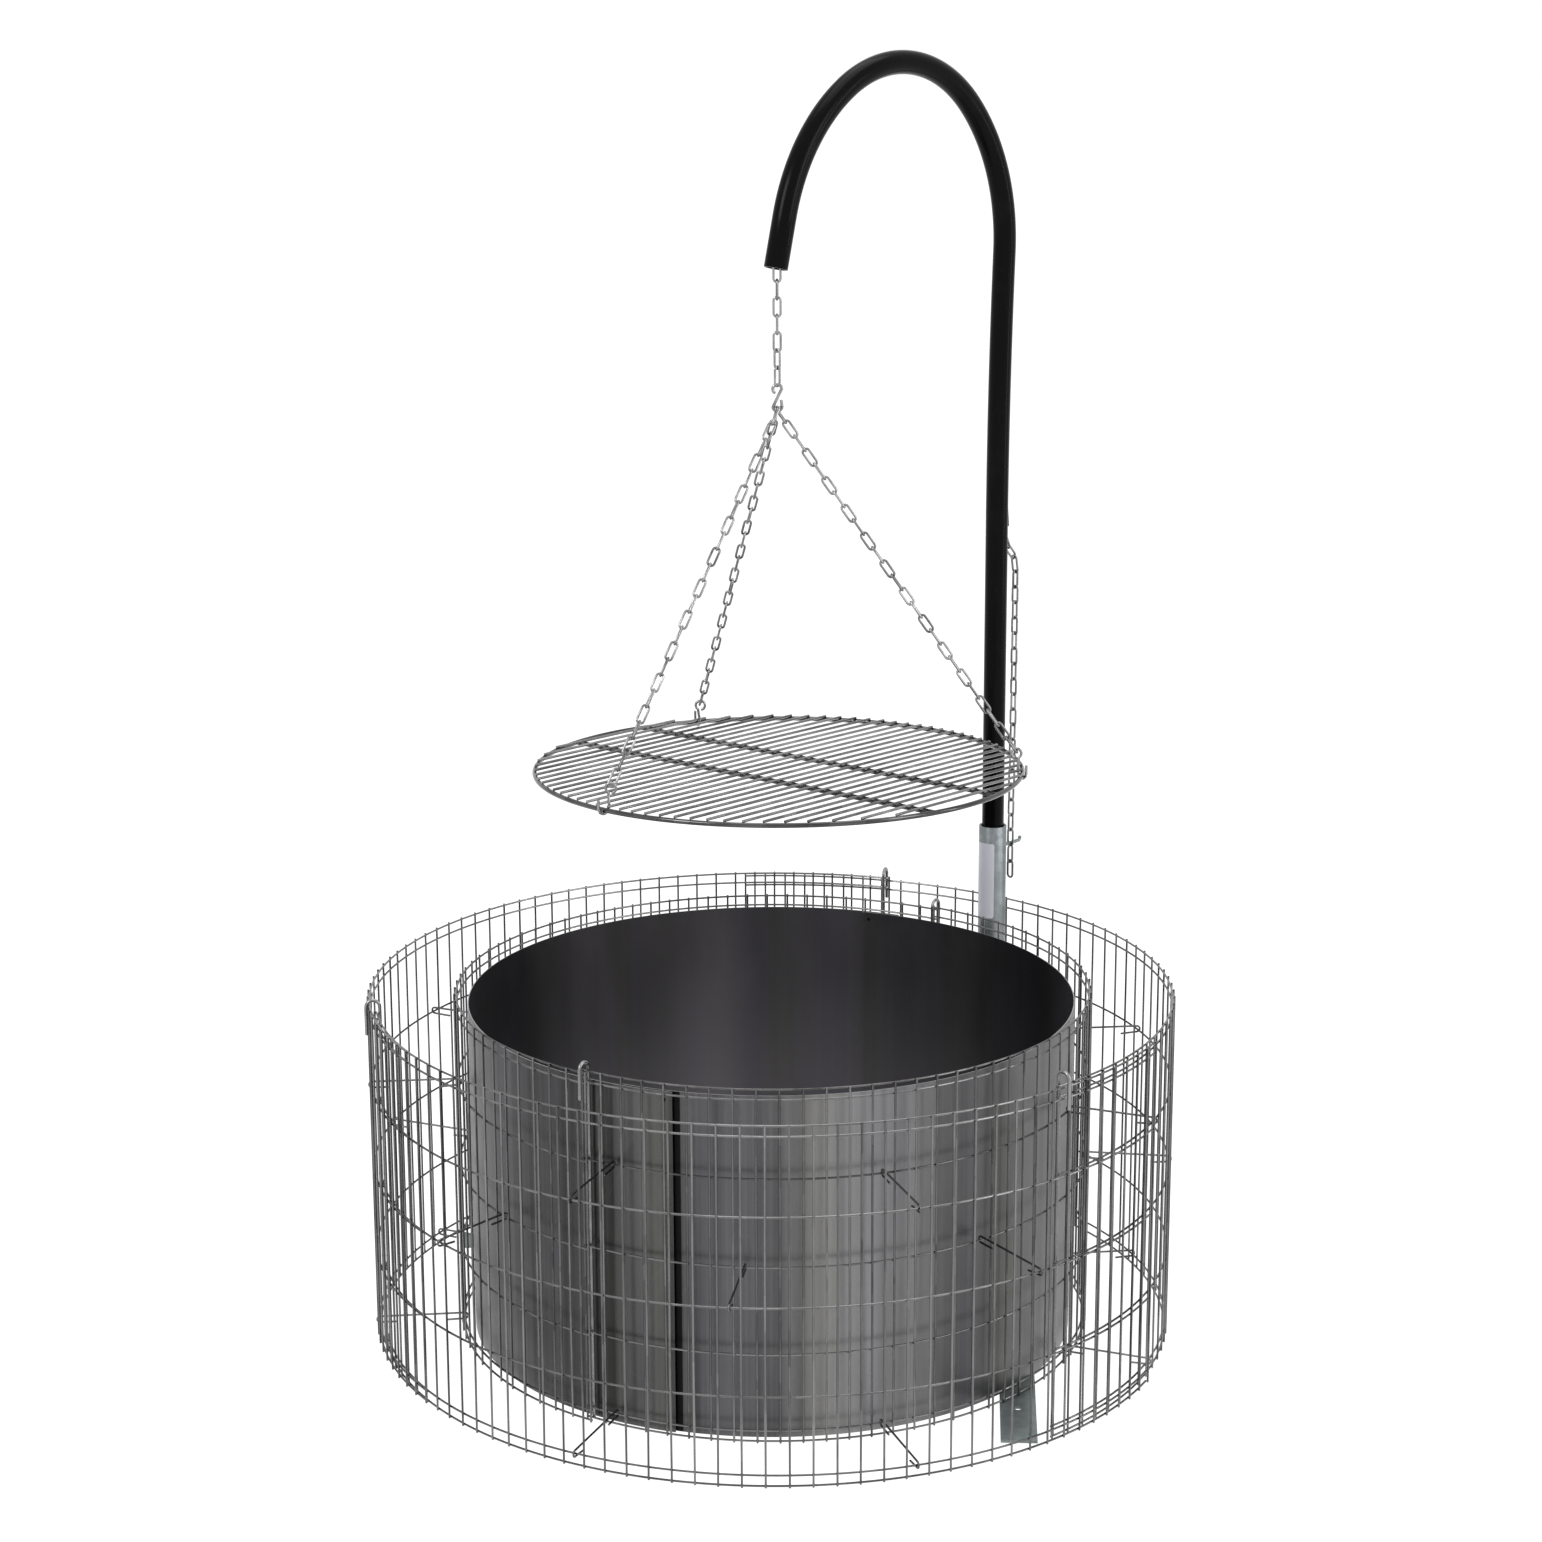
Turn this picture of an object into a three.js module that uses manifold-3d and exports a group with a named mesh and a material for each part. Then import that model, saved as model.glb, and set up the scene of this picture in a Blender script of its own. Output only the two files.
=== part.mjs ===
// Gabion fire pit with a swivelling grill: two rings of welded wire mesh held apart by hooked wires, a liner
// of sheet steel inside them, and between the rings a post with a gooseneck pipe, a chain and a round grate.
// Millimetres, +Z up. The origin is on the ground, on the axis of the rings.
import * as THREE from "three";
import { mergeVertices } from "three/addons/utils/BufferGeometryUtils.js";
import Module from "manifold-3d";

const wasm = await Module();
wasm.setup();

// Running gaps
const gap = 0.3;
const overrun = 5;

// How finely round things are cut into facets
const mergeDistance = 1e-4;
const wireSides = 6;
const meshSides = 3;
const flatRodSides = 4;
const pipeSides = 12;
const postSides = 24;
const sheetHoleSides = 8;
const barHoleSides = 12;
const ringSides = 48;
const linerSteps = 30;
const caneSteps = 6;
const spacerSteps = 4;
const pipeBowSteps = 3;
const pipeFirstSteps = 5;
const pipeMiddleSteps = 7;
const pipeLastSteps = 4;
const sHookSteps = 8;
const grateHookSteps = 6;

// Mesh panels, all five cut from the same sheet of welded wire
const meshWire = 3;
const meshCell = 25;
const panelWires = 47;
const meshHeight = 400;
const meshEdgeCell = 12;
const meshRowShares = [0.25, 0.5, 0.75];
const rowSection = 1.8;
const weldDepth = 0.25;

// Rings
const outerRadius = 460;
const outerStart = 71;
const outerPanels = 3;
const outerLifts = [4, 0, 0];
const stoneDepth = 97;
const innerStart = -124.5;
const innerPanels = 2;
const layerGap = 6.8;

// Foot of two flat bars
const barWidth = 40;
const barThickness = 3;
const frontBarShare = 1.474;
const leftBarShare = 1.4585;
const barTail = 18;
const frontBarShift = 29.2;
const frontBarTurn = 3.2;
const leftBarTurn = 7.6;
const barHoleDiameter = 9;
const barHoleInset = 82;

// Post
const postInset = 52.5;
const postAngle = 48.25;
const postDiameter = 33.7;
const postWall = 2.65;
const postHeight = 508;

// Hook pin on the post
const pinDiameter = 5;
const pinDrop = 30;
const pinReach = 36;
const pinTip = 4;

// Liner sheets
const sheet = 1;
const linerHeight = 390;
const rightSheetInset = 17.4;
const leftSheetInset = 13.2;
const rightSheetStart = -115;
const leftSheetStart = 62.7;
const sheetSweep = 188.8;
const sheetHoleDiameter = 6;
const sheetHoleInset = 14;

// Cane rods that close the rings
const caneWire = 4.6;
const caneShortLeg = 32;
const caneRise = 3;
const caneTurn = 0.75;

// Hooked spacer wires
const spacerWire = 3;
const spacerBend = 3.6;
const spacerTip = 20;
const pairAngles = [-171.5, -118.4, -71, -23.5, 19, 64, 108, 152];
const singleAngles = [-144, -94.6, -52, -4, 38, 98, 130, 170];

// Gooseneck pipe
const pipeDiameter = 26.9;
const pipeWall = 2.3;
const pipeStraight = 1208.5;
const pipeBow = 7.4;
const pipeBowLength = 312;
const pipeFirstRadius = 229.4;
const pipeFirstSweep = 47.7;
const pipeMiddleRadius = 176;
const pipeMiddleSweep = 75.2;
const pipeLastRadius = 220;
const pipeLastSweep = 45.3;
const pipeMouthStraight = 58;
const armAside = 1.25;
const slotHeight = 36;
const slotWidth = 12;
const slotBase = 846;
const lipLength = 42;
const lipThickness = 2.5;
const lipWidth = 14;
const lipReach = 11;

// Chain, drawn as its envelope
const chainDiameter = 9;
const chainLink = 19;
const chainTuck = 23;
const mouthLean = 2;
const tuckStraight = 10;
const upperLinks = 4;
const lowerChain = 69;
const chainHang = 40;
const chainKnee = 27;
const tailLinks = 2.4;
const fanShare = 0.75;
const fanLift = 2.6;

// Hook between the chains
const sHookWire = 4;
const sHookBend = 5.5;
const sHookHeight = 32;
const sHookMouth = 20;

// Grate
const grateRadius = 277;
const grateZ = 656;
const grateTilt = 1.6;
const grateRingWire = 6;
const grateRodWire = 4;
const grateRodSpacing = 17.2;
const grateOverhang = 4;
const grateRodTurn = 48;
const grateCrossWire = 5;
const grateCrossPlaces = [55, -55];
const grateCrossSplit = 9;
const grateChainTurn = -8;
const grateChains = 3;

// Hooks at the grate
const grateHookWire = 3.5;
const grateHookBend = 5.2;
const grateHookHeight = 26;
const grateHookTip = 9;
const grateHookLean = 3;
const rodGapShare = 0.6;

// Worked out from the sizes above
const degree = Math.PI / 180;
const turn = 360;
const weld = meshWire / 2 - weldDepth;
const footTop = barThickness + gap;
const midRows = meshRowShares.map((share) => share * meshHeight);
const meshRows = [0, meshEdgeCell, ...midRows, meshHeight - meshEdgeCell, meshHeight];
const innerRadius = outerRadius - stoneDepth;
const rightSheetRadius = innerRadius - rightSheetInset;
const leftSheetRadius = innerRadius - leftSheetInset;
const frontBarLength = outerRadius * frontBarShare;
const leftBarLength = outerRadius * leftBarShare;
const grateRods = 2 * Math.floor(grateRadius / grateRodSpacing) + 1;
const postX = (outerRadius - postInset) * Math.cos(postAngle * degree);
const postY = (outerRadius - postInset) * Math.sin(postAngle * degree);
const armTurn = Math.atan2(-postY, -postX) / degree - armAside;
const postTop = footTop + postHeight;

const materials = {
  galvanised: new THREE.MeshStandardMaterial({ color: 0x77787a, metalness: 0.9, roughness: 0.45 }),
  zinc: new THREE.MeshStandardMaterial({ color: 0xa8a8aa, metalness: 0.95, roughness: 0.3 }),
  tube: new THREE.MeshStandardMaterial({ color: 0x8f9497, metalness: 0.85, roughness: 0.5 }),
  black: new THREE.MeshStandardMaterial({ color: 0x101012, metalness: 0.1, roughness: 0.3 }),
  sheet: new THREE.MeshStandardMaterial({ color: 0x4a494b, metalness: 0.8, roughness: 0.45 }),
  steel: new THREE.MeshStandardMaterial({ color: 0x8d8d8f, metalness: 0.95, roughness: 0.25 }),
};

const part = new THREE.Group();

// A path whose rings stand exactly on the given points
class PointPath extends THREE.Curve {
  constructor(points) {
    super();
    this.points = points;
  }
  getPoint(t, target = new THREE.Vector3()) {
    const last = this.points.length - 1;
    const place = Math.min(Math.max(t, 0), 1) * last;
    const index = Math.min(Math.floor(place), last - 1);
    return target.lerpVectors(this.points[index], this.points[index + 1], place - index);
  }
  getPointAt(u, target) {
    return this.getPoint(u, target);
  }
  getTangentAt(u, target = new THREE.Vector3()) {
    const last = this.points.length - 1;
    const index = Math.round(u * last);
    const here = this.points[index];
    const before = this.points[Math.max(index - 1, 0)];
    const after = this.points[Math.min(index + 1, last)];
    const back = new THREE.Vector3().subVectors(here, before).normalize();
    const ahead = new THREE.Vector3().subVectors(after, here).normalize();
    return target.addVectors(back, ahead).normalize();
  }
}

const at = (radius, angle, z) =>
  new THREE.Vector3(radius * Math.cos(angle * degree), radius * Math.sin(angle * degree), z);

function roundShape(radius, sides, start = 0) {
  const shape = new THREE.Shape();
  for (let i = 0; i < sides; i++) {
    const a = start + (i * 2 * Math.PI) / sides;
    if (i === 0) shape.moveTo(radius * Math.cos(a), radius * Math.sin(a));
    else shape.lineTo(radius * Math.cos(a), radius * Math.sin(a));
  }
  shape.closePath();
  return shape;
}

const sweep = (shape, points) =>
  new THREE.ExtrudeGeometry(shape, {
    steps: points.length - 1,
    extrudePath: new PointPath(points),
    bevelEnabled: false,
    curveSegments: 1,
  });

const wireAlong = (points, diameter, sides = wireSides) =>
  sweep(roundShape(diameter / 2, sides, Math.PI / 2), points);

function solidOf(geometry) {
  const bare = geometry.clone();
  bare.deleteAttribute("normal");
  bare.deleteAttribute("uv");
  const merged = mergeVertices(bare, mergeDistance);
  return new wasm.Manifold(
    new wasm.Mesh({
      numProp: 3,
      vertProperties: new Float32Array(merged.attributes.position.array),
      triVerts: new Uint32Array(merged.index.array),
    }),
  );
}

function geometryOf(solid) {
  const mesh = solid.getMesh();
  const positions = new Float32Array(mesh.numVert * 3);
  for (let i = 0; i < mesh.numVert; i++) {
    positions.set(mesh.vertProperties.subarray(i * mesh.numProp, i * mesh.numProp + 3), i * 3);
  }
  const geometry = new THREE.BufferGeometry();
  geometry.setAttribute("position", new THREE.BufferAttribute(positions, 3));
  geometry.setIndex(new THREE.BufferAttribute(new Uint32Array(mesh.triVerts), 1));
  geometry.computeVertexNormals();
  return geometry;
}

const fuse = (geometries) => geometries.map(solidOf).reduce((all, next) => all.add(next));

function place(name, geometry, material, parent = part) {
  const mesh = new THREE.Mesh(geometry, material);
  mesh.name = name;
  parent.add(mesh);
  return mesh;
}

// A ring of mesh: each panel spirals out by one layer, so that its end lies over the start of the next one
const panelSweep = (radius) => ((panelWires - 1) * meshCell) / radius / degree;
const layerSpread = (radius, panels) => (layerGap * panelSweep(radius)) / (turn / panels) / 2;
const panelRadius = (radius, panels, share) => radius + layerSpread(radius, panels) * (2 * share - 1);

function meshPanel(radius, panels, start, base) {
  const arc = panelSweep(radius);
  const cells = (panelWires - 1) / 2;
  const rise = 1 / Math.cos((arc / cells / 2) * degree);
  const rowPoints = (inset) =>
    Array.from({ length: cells + 1 }, (_, i) =>
      at((panelRadius(radius, panels, i / cells) - inset) * rise, start + (arc * i) / cells, 0),
    );
  const section = roundShape(rowSection, meshSides, Math.PI / 2);
  const top = meshRows.length - 1;
  const rows = meshRows.map((z, i) =>
    sweep(section, rowPoints(i === top ? -gap : weld)).translate(0, 0, base + z),
  );
  const chord = rowPoints(-weld);
  const wires = Array.from({ length: panelWires }, (_, i) => {
    const whole = Math.floor(i / 2);
    const spot = i % 2 ? chord[whole].clone().lerp(chord[whole + 1], 1 / 2) : chord[whole].clone();
    const angle = Math.atan2(spot.y, spot.x);
    const isEnd = i === 0 || i === panelWires - 1;
    const radial = Math.hypot(spot.x, spot.y) - (isEnd ? weld : 0);
    const facing = angle + Math.PI / 2;
    const wire = new THREE.CylinderGeometry(rowSection, rowSection, meshHeight, meshSides, 1, false, facing);
    wire.rotateX(Math.PI / 2);
    return wire.translate(radial * Math.cos(angle), radial * Math.sin(angle), base + meshHeight / 2);
  });
  return geometryOf(fuse([...rows, ...wires]));
}

const outerBase = meshWire / 2;
const innerBase = footTop + rowSection;
const outerAngles = Array.from({ length: outerPanels }, (_, i) => outerStart + (i * turn) / outerPanels);
const innerAngles = Array.from({ length: innerPanels }, (_, i) => innerStart + (i * turn) / innerPanels);

function addRings() {
  outerAngles.forEach((start, i) =>
    place(
      "outer_mesh_panel_" + (i + 1),
      meshPanel(outerRadius, outerPanels, start, outerBase + outerLifts[i]),
      materials.galvanised,
    ),
  );
  innerAngles.forEach((start, i) =>
    place(
      "inner_mesh_panel_" + (i + 1),
      meshPanel(innerRadius, innerPanels, start, innerBase),
      materials.galvanised,
    ),
  );
}

// Cane rods: the long leg stands inside both layers, the hook goes over their top wires
function cane(radius, panels, start, base, foot) {
  const overlapShare = turn / panels / panelSweep(radius);
  const insideFace = panelRadius(radius, panels, 0) - meshWire / 2 - rowSection;
  const outsideFace = panelRadius(radius, panels, overlapShare) + rowSection;
  const insideLeg = insideFace - gap - caneWire / 2;
  const outsideLeg = outsideFace + gap + caneWire / 2;
  const bend = (outsideLeg - insideLeg) / 2;
  const middle = (outsideLeg + insideLeg) / 2;
  const crown = base + meshHeight + caneRise;
  const angle = start + caneTurn;
  const arc = Array.from({ length: caneSteps + 1 }, (_, i) => {
    const a = (i * Math.PI) / caneSteps;
    return at(middle - bend * Math.cos(a), angle, crown + bend * Math.sin(a));
  });
  const points = [at(insideLeg, angle, foot), ...arc, at(outsideLeg, angle, crown - caneShortLeg)];
  return wireAlong(points, caneWire);
}

function addCanes() {
  outerAngles.forEach((start, i) =>
    place(
      "outer_closing_rod_" + (i + 1),
      cane(outerRadius, outerPanels, start, outerBase + Math.max(...outerLifts), gap),
      materials.zinc,
    ),
  );
  innerAngles.forEach((start, i) =>
    place(
      "inner_closing_rod_" + (i + 1),
      cane(innerRadius, innerPanels, start, innerBase, footTop),
      materials.zinc,
    ),
  );
}

// The middle of the mesh cell nearest to an angle: its angle, its ring radius and its panel
function cellNear(angle, radius, panels, starts) {
  const pitch = panelSweep(radius) / (panelWires - 1);
  for (let i = 0; i < panels; i++) {
    const past = (((angle - starts[i]) % turn) + turn) % turn;
    if (past < turn / panels) {
      const cell = Math.floor(past / pitch) + 1 / 2;
      const share = (cell * pitch) / panelSweep(radius);
      return { angle: starts[i] + cell * pitch, radius: panelRadius(radius, panels, share), panel: i };
    }
  }
  throw new Error("no panel at " + angle);
}

function spacer(angle, rowHeight) {
  const outer = cellNear(angle, outerRadius, outerPanels, outerAngles);
  const inner = cellNear(angle, innerRadius, innerPanels, innerAngles);
  const outerWire = at(outer.radius - weld, outer.angle, outerBase + outerLifts[outer.panel] + rowHeight);
  const innerWire = at(inner.radius - weld, inner.angle, innerBase + rowHeight);
  const away = new THREE.Vector3(outerWire.x - innerWire.x, outerWire.y - innerWire.y, 0).normalize();
  const up = new THREE.Vector3(0, 0, 1);
  const hook = (centre, side) =>
    Array.from({ length: spacerSteps + 1 }, (_, i) => {
      const a = (i * Math.PI) / spacerSteps;
      const lift = up.clone().multiplyScalar(spacerBend * Math.cos(a));
      return centre.clone().add(lift).addScaledVector(away, side * spacerBend * Math.sin(a));
    });
  const outerHook = hook(outerWire, 1).reverse();
  const innerHook = hook(innerWire, -1);
  const outerTip = outerHook[0].clone().addScaledVector(away, -spacerTip);
  const innerTip = innerHook[innerHook.length - 1].clone().addScaledVector(away, spacerTip);
  return wireAlong([outerTip, ...outerHook, ...innerHook, innerTip], spacerWire, meshSides);
}

function addSpacers() {
  pairAngles.forEach((angle, i) => {
    place("spacer_low_" + (i + 1), spacer(angle, meshRows[1]), materials.galvanised);
    place("spacer_high_" + (i + 1), spacer(angle, meshRows[4]), materials.galvanised);
  });
  singleAngles.forEach((angle, i) =>
    place("spacer_middle_" + (i + 1), spacer(angle, meshRows[3]), materials.galvanised),
  );
}

// Liner: two rolled sheets, the left one outside the right one at both seams
function linerSheet(radius, start) {
  const outline = new THREE.Shape();
  const edge = (r, i) => at(r, start + (sheetSweep * i) / linerSteps, 0);
  for (let i = 0; i <= linerSteps; i++) {
    const p = edge(radius + sheet / 2, i);
    if (i === 0) outline.moveTo(p.x, p.y);
    else outline.lineTo(p.x, p.y);
  }
  for (let i = linerSteps; i >= 0; i--) {
    const p = edge(radius - sheet / 2, i);
    outline.lineTo(p.x, p.y);
  }
  outline.closePath();
  const wall = new THREE.ExtrudeGeometry(outline, { depth: linerHeight, bevelEnabled: false });
  const holeAngle = sheetHoleInset / radius / degree;
  const holes = [start + holeAngle, start + sheetSweep - holeAngle].map((angle) => {
    const hole = sheetHoleDiameter / 2;
    const drill = new THREE.CylinderGeometry(hole, hole, 2 * overrun, sheetHoleSides);
    drill.rotateZ(Math.PI / 2).rotateZ(angle * degree);
    const spot = at(radius, angle, linerHeight - sheetHoleInset);
    return solidOf(drill.translate(spot.x, spot.y, spot.z));
  });
  return geometryOf(holes.reduce((all, hole) => all.subtract(hole), solidOf(wall)));
}

function addLiner() {
  const right = place("liner_right_sheet", linerSheet(rightSheetRadius, rightSheetStart), materials.sheet);
  const left = place("liner_left_sheet", linerSheet(leftSheetRadius, leftSheetStart), materials.sheet);
  right.position.z = footTop;
  left.position.z = footTop;
}

// Foot: the left bar butts against the front bar, and the post stands over their joint
function bar(length) {
  const blank = new THREE.BoxGeometry(length, barWidth, barThickness);
  const hole = barHoleDiameter / 2;
  const drill = new THREE.CylinderGeometry(hole, hole, 2 * overrun, barHoleSides);
  drill.rotateX(Math.PI / 2).translate(length / 2 - barHoleInset, 0, 0);
  const solid = solidOf(blank).subtract(solidOf(drill));
  return geometryOf(solid).translate(length / 2, 0, barThickness / 2);
}

function addFoot() {
  const foot = new THREE.Group();
  foot.position.set(postX, postY, 0);
  foot.rotation.z = (-frontBarTurn - turn / 4) * degree;
  part.add(foot);
  const front = place("foot_bar_front", bar(frontBarLength), materials.tube, foot);
  front.position.set(-barTail, frontBarShift, 0);
  const side = new THREE.Group();
  side.position.set(postX, postY, 0);
  side.rotation.z = (leftBarTurn - turn / 2) * degree;
  part.add(side);
  const lean = (leftBarTurn + frontBarTurn) * degree;
  const left = place("foot_bar_left", bar(leftBarLength), materials.tube, side);
  const sideways = barWidth / 2 + gap - frontBarShift;
  left.position.x = sideways / Math.cos(lean) + (barWidth / 2) * Math.tan(lean);
}

// Post and its hook pin; x runs from the post away from the rings' axis
const outwards = new THREE.Group();
outwards.position.set(postX, postY, 0);
outwards.rotation.z = armTurn * degree + Math.PI;
part.add(outwards);

function tubeUpright(outerDiameter, wall, height, segments) {
  const outer = outerDiameter / 2;
  const profile = [
    new THREE.Vector2(outer - wall, 0),
    new THREE.Vector2(outer, 0),
    new THREE.Vector2(outer, height),
    new THREE.Vector2(outer - wall, height),
    new THREE.Vector2(outer - wall, 0),
  ];
  return new THREE.LatheGeometry(profile, segments).rotateX(Math.PI / 2);
}

const pinZ = postTop - pinDrop;

function addPost() {
  const tube = tubeUpright(postDiameter, postWall, postHeight, postSides);
  const post = place("post", tube, materials.tube, outwards);
  post.position.z = footTop;
  const root = postDiameter / 2 + gap;
  const pin = [
    new THREE.Vector3(root, 0, pinZ),
    new THREE.Vector3(root + pinReach - pinDiameter / 2, 0, pinZ),
    new THREE.Vector3(root + pinReach, 0, pinZ + pinDiameter / 2),
    new THREE.Vector3(root + pinReach, 0, pinZ + pinTip),
  ];
  place("hook_pin", wireAlong(pin, pinDiameter), materials.tube, outwards);
}

// Gooseneck pipe in its own plane: x is the distance from the post towards the rings' axis
const pipeBase = footTop + gap;
const pipeTop = pipeBase + pipeStraight;

// Headings are measured from upright, and grow towards the rings' axis
function pipeLine() {
  const bowBase = pipeTop - pipeBowLength;
  const points = [new THREE.Vector3(0, 0, pipeBase)];
  for (let i = 0; i <= pipeBowSteps; i++) {
    const share = i / pipeBowSteps;
    points.push(new THREE.Vector3(-pipeBow * share ** 2, 0, bowBase + pipeBowLength * share));
  }
  const bends = [
    [pipeFirstRadius, pipeFirstSweep, pipeFirstSteps],
    [pipeMiddleRadius, pipeMiddleSweep, pipeMiddleSteps],
    [pipeLastRadius, pipeLastSweep, pipeLastSteps],
  ];
  let heading = -Math.atan((2 * pipeBow) / pipeBowLength);
  for (const [radius, arc, steps] of bends) {
    const start = points[points.length - 1];
    const centreX = start.x + radius * Math.cos(heading);
    const centreZ = start.z - radius * Math.sin(heading);
    for (let i = 1; i <= steps; i++) {
      const a = heading + (arc * degree * i) / steps;
      points.push(new THREE.Vector3(centreX - radius * Math.cos(a), 0, centreZ + radius * Math.sin(a)));
    }
    heading += arc * degree;
  }
  const ahead = new THREE.Vector3(Math.sin(heading), 0, Math.cos(heading));
  points.push(points[points.length - 1].clone().addScaledVector(ahead, pipeMouthStraight));
  return points;
}

const pipePoints = pipeLine();
const mouth = pipePoints[pipePoints.length - 1];

function pipeGeometry() {
  const boreRadius = pipeDiameter / 2 - pipeWall;
  const section = roundShape(pipeDiameter / 2, pipeSides);
  section.holes.push(roundShape(boreRadius, pipeSides));
  const tube = solidOf(sweep(section, pipePoints));
  const slot = new THREE.BoxGeometry(pipeDiameter, slotWidth, slotHeight);
  slot.translate(-pipeDiameter / 2, 0, slotBase + slotHeight / 2);
  const lip = new THREE.BoxGeometry(lipThickness, lipWidth, lipLength);
  const lean = Math.asin(lipReach / lipLength);
  lip.rotateY(lean);
  const lipX = -(pipeDiameter - pipeWall) / 2 - lipReach / 2;
  lip.translate(lipX, 0, slotBase + slotHeight + lipLength / 2);
  const bore = new THREE.CylinderGeometry(boreRadius, boreRadius, lipLength + 2 * overrun, pipeSides);
  bore.rotateX(Math.PI / 2).translate(0, 0, slotBase + slotHeight + lipLength / 2);
  return geometryOf(tube.subtract(solidOf(slot)).add(solidOf(lip).subtract(solidOf(bore))));
}

const armFrame = new THREE.Group();
armFrame.position.set(postX, postY, 0);
armFrame.rotation.z = armTurn * degree;
part.add(armFrame);

const chainTop = mouth.z + chainTuck;
const chainSplit = chainTop - chainTuck - upperLinks * chainLink + chainLink;
const chainEnd = chainSplit - lowerChain;

function addArm() {
  place("gooseneck_pipe", pipeGeometry(), materials.black, armFrame);
  const inside = pipePoints.slice(1, -1);
  const start = new THREE.Vector3(0, 0, slotBase + slotHeight / 2 + chainDiameter);
  const above = new THREE.Vector3(mouth.x - mouthLean - 2 * gap, 0, chainTop + tuckStraight);
  const stop = new THREE.Vector3(mouth.x - mouthLean, 0, chainTop + gap);
  place("chain_in_pipe", wireAlong([start, ...inside, above, stop], chainDiameter), materials.zinc, armFrame);
  const hang = [
    new THREE.Vector3(-chainDiameter / 3, 0, slotBase + slotHeight / 2 + chainDiameter / 2),
    new THREE.Vector3(-pipeDiameter / 2 - chainDiameter / 2, 0, slotBase + slotHeight / 2),
    new THREE.Vector3(-chainHang, 0, slotBase + slotHeight / 2 - chainKnee),
    new THREE.Vector3(-postDiameter / 2 - pinReach / 2, 0, pinZ + pinDiameter / 2 + gap),
  ];
  place("chain_behind_post", wireAlong(hang, chainDiameter), materials.zinc, armFrame);
  const tailTop = pinZ - pinDiameter / 2 - gap;
  const tail = [
    new THREE.Vector3(-postDiameter / 2 - pinReach / 2, 0, tailTop),
    new THREE.Vector3(-postDiameter / 2 - pinReach / 2, 0, tailTop - tailLinks * chainLink),
  ];
  place("chain_tail", wireAlong(tail, chainDiameter), materials.zinc, armFrame);
}

// The hanger hangs straight down from the mouth of the pipe
const hanger = new THREE.Group();
hanger.position.x = mouth.x - mouthLean;
armFrame.add(hanger);

const hookTop = chainEnd;
const hookLow = chainEnd - sHookHeight;

function sHook() {
  const upper = hookTop - sHookWire / 2 - sHookBend;
  const lower = hookLow + sHookWire / 2 + sHookBend;
  const arc = (z, from, to) =>
    Array.from({ length: sHookSteps + 1 }, (_, i) => {
      const a = (from + ((to - from) * i) / sHookSteps) * degree;
      return new THREE.Vector3(0, sHookBend * Math.cos(a), z + sHookBend * Math.sin(a));
    });
  const points = [...arc(upper, -sHookMouth, turn / 2), ...arc(lower, 0, -turn / 2 - sHookMouth)];
  return wireAlong(points, sHookWire);
}

function addHanger() {
  const upright = (from, to) => [new THREE.Vector3(0, 0, from), new THREE.Vector3(0, 0, to)];
  const upper = wireAlong(upright(chainTop, chainSplit), chainDiameter);
  const lower = wireAlong(upright(chainSplit - gap, chainEnd + gap), chainDiameter);
  place("front_chain_upper", upper, materials.zinc, hanger);
  place("front_chain_lower", lower, materials.zinc, hanger);
  place("s_hook", sHook(), materials.zinc, hanger);
}

// Grate: a ring, rods welded on it and two pairs of cross bars under them
function grateGeometry() {
  const cornerRadius = grateRadius / Math.cos(Math.PI / ringSides);
  const section = roundShape(grateRingWire / 2, flatRodSides).getPoints().slice(0, -1);
  const profile = section.map((p) => new THREE.Vector2(cornerRadius + p.x, p.y));
  const ring = new THREE.LatheGeometry([...profile, profile[0].clone()], ringSides).rotateX(Math.PI / 2);
  const bars = [];
  const rodZ = grateRingWire / 2 + grateRodWire / 2 - gap;
  for (let i = 0; i < grateRods; i++) {
    const offset = (i - (grateRods - 1) / 2) * grateRodSpacing;
    const half = Math.sqrt(grateRadius ** 2 - offset ** 2) + grateOverhang;
    const wire = grateRodWire / 2;
    const rod = new THREE.CylinderGeometry(wire, wire, 2 * half, flatRodSides);
    bars.push(rod.rotateZ(Math.PI / 2).translate(0, offset, rodZ));
  }
  for (const spot of grateCrossPlaces) {
    for (const side of [-1 / 2, 1 / 2]) {
      const offset = spot + side * grateCrossSplit;
      const half = Math.sqrt(grateRadius ** 2 - offset ** 2);
      const wire = grateCrossWire / 2;
      const cross = new THREE.CylinderGeometry(wire, wire, 2 * half, flatRodSides);
      bars.push(cross.translate(offset, 0, (grateRingWire - grateCrossWire) / 2 - 2 * gap));
    }
  }
  return geometryOf(fuse([ring, ...bars]));
}

function grateHook() {
  const start = new THREE.Vector3(-grateHookBend - grateHookLean, 0, grateHookHeight);
  const points = [start];
  for (let i = 0; i <= grateHookSteps; i++) {
    const a = Math.PI * (1 + i / grateHookSteps);
    points.push(new THREE.Vector3(grateHookBend * Math.cos(a), 0, grateHookBend * Math.sin(a)));
  }
  points.push(new THREE.Vector3(grateHookBend, 0, grateHookTip));
  return wireAlong(points, grateHookWire);
}

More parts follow.
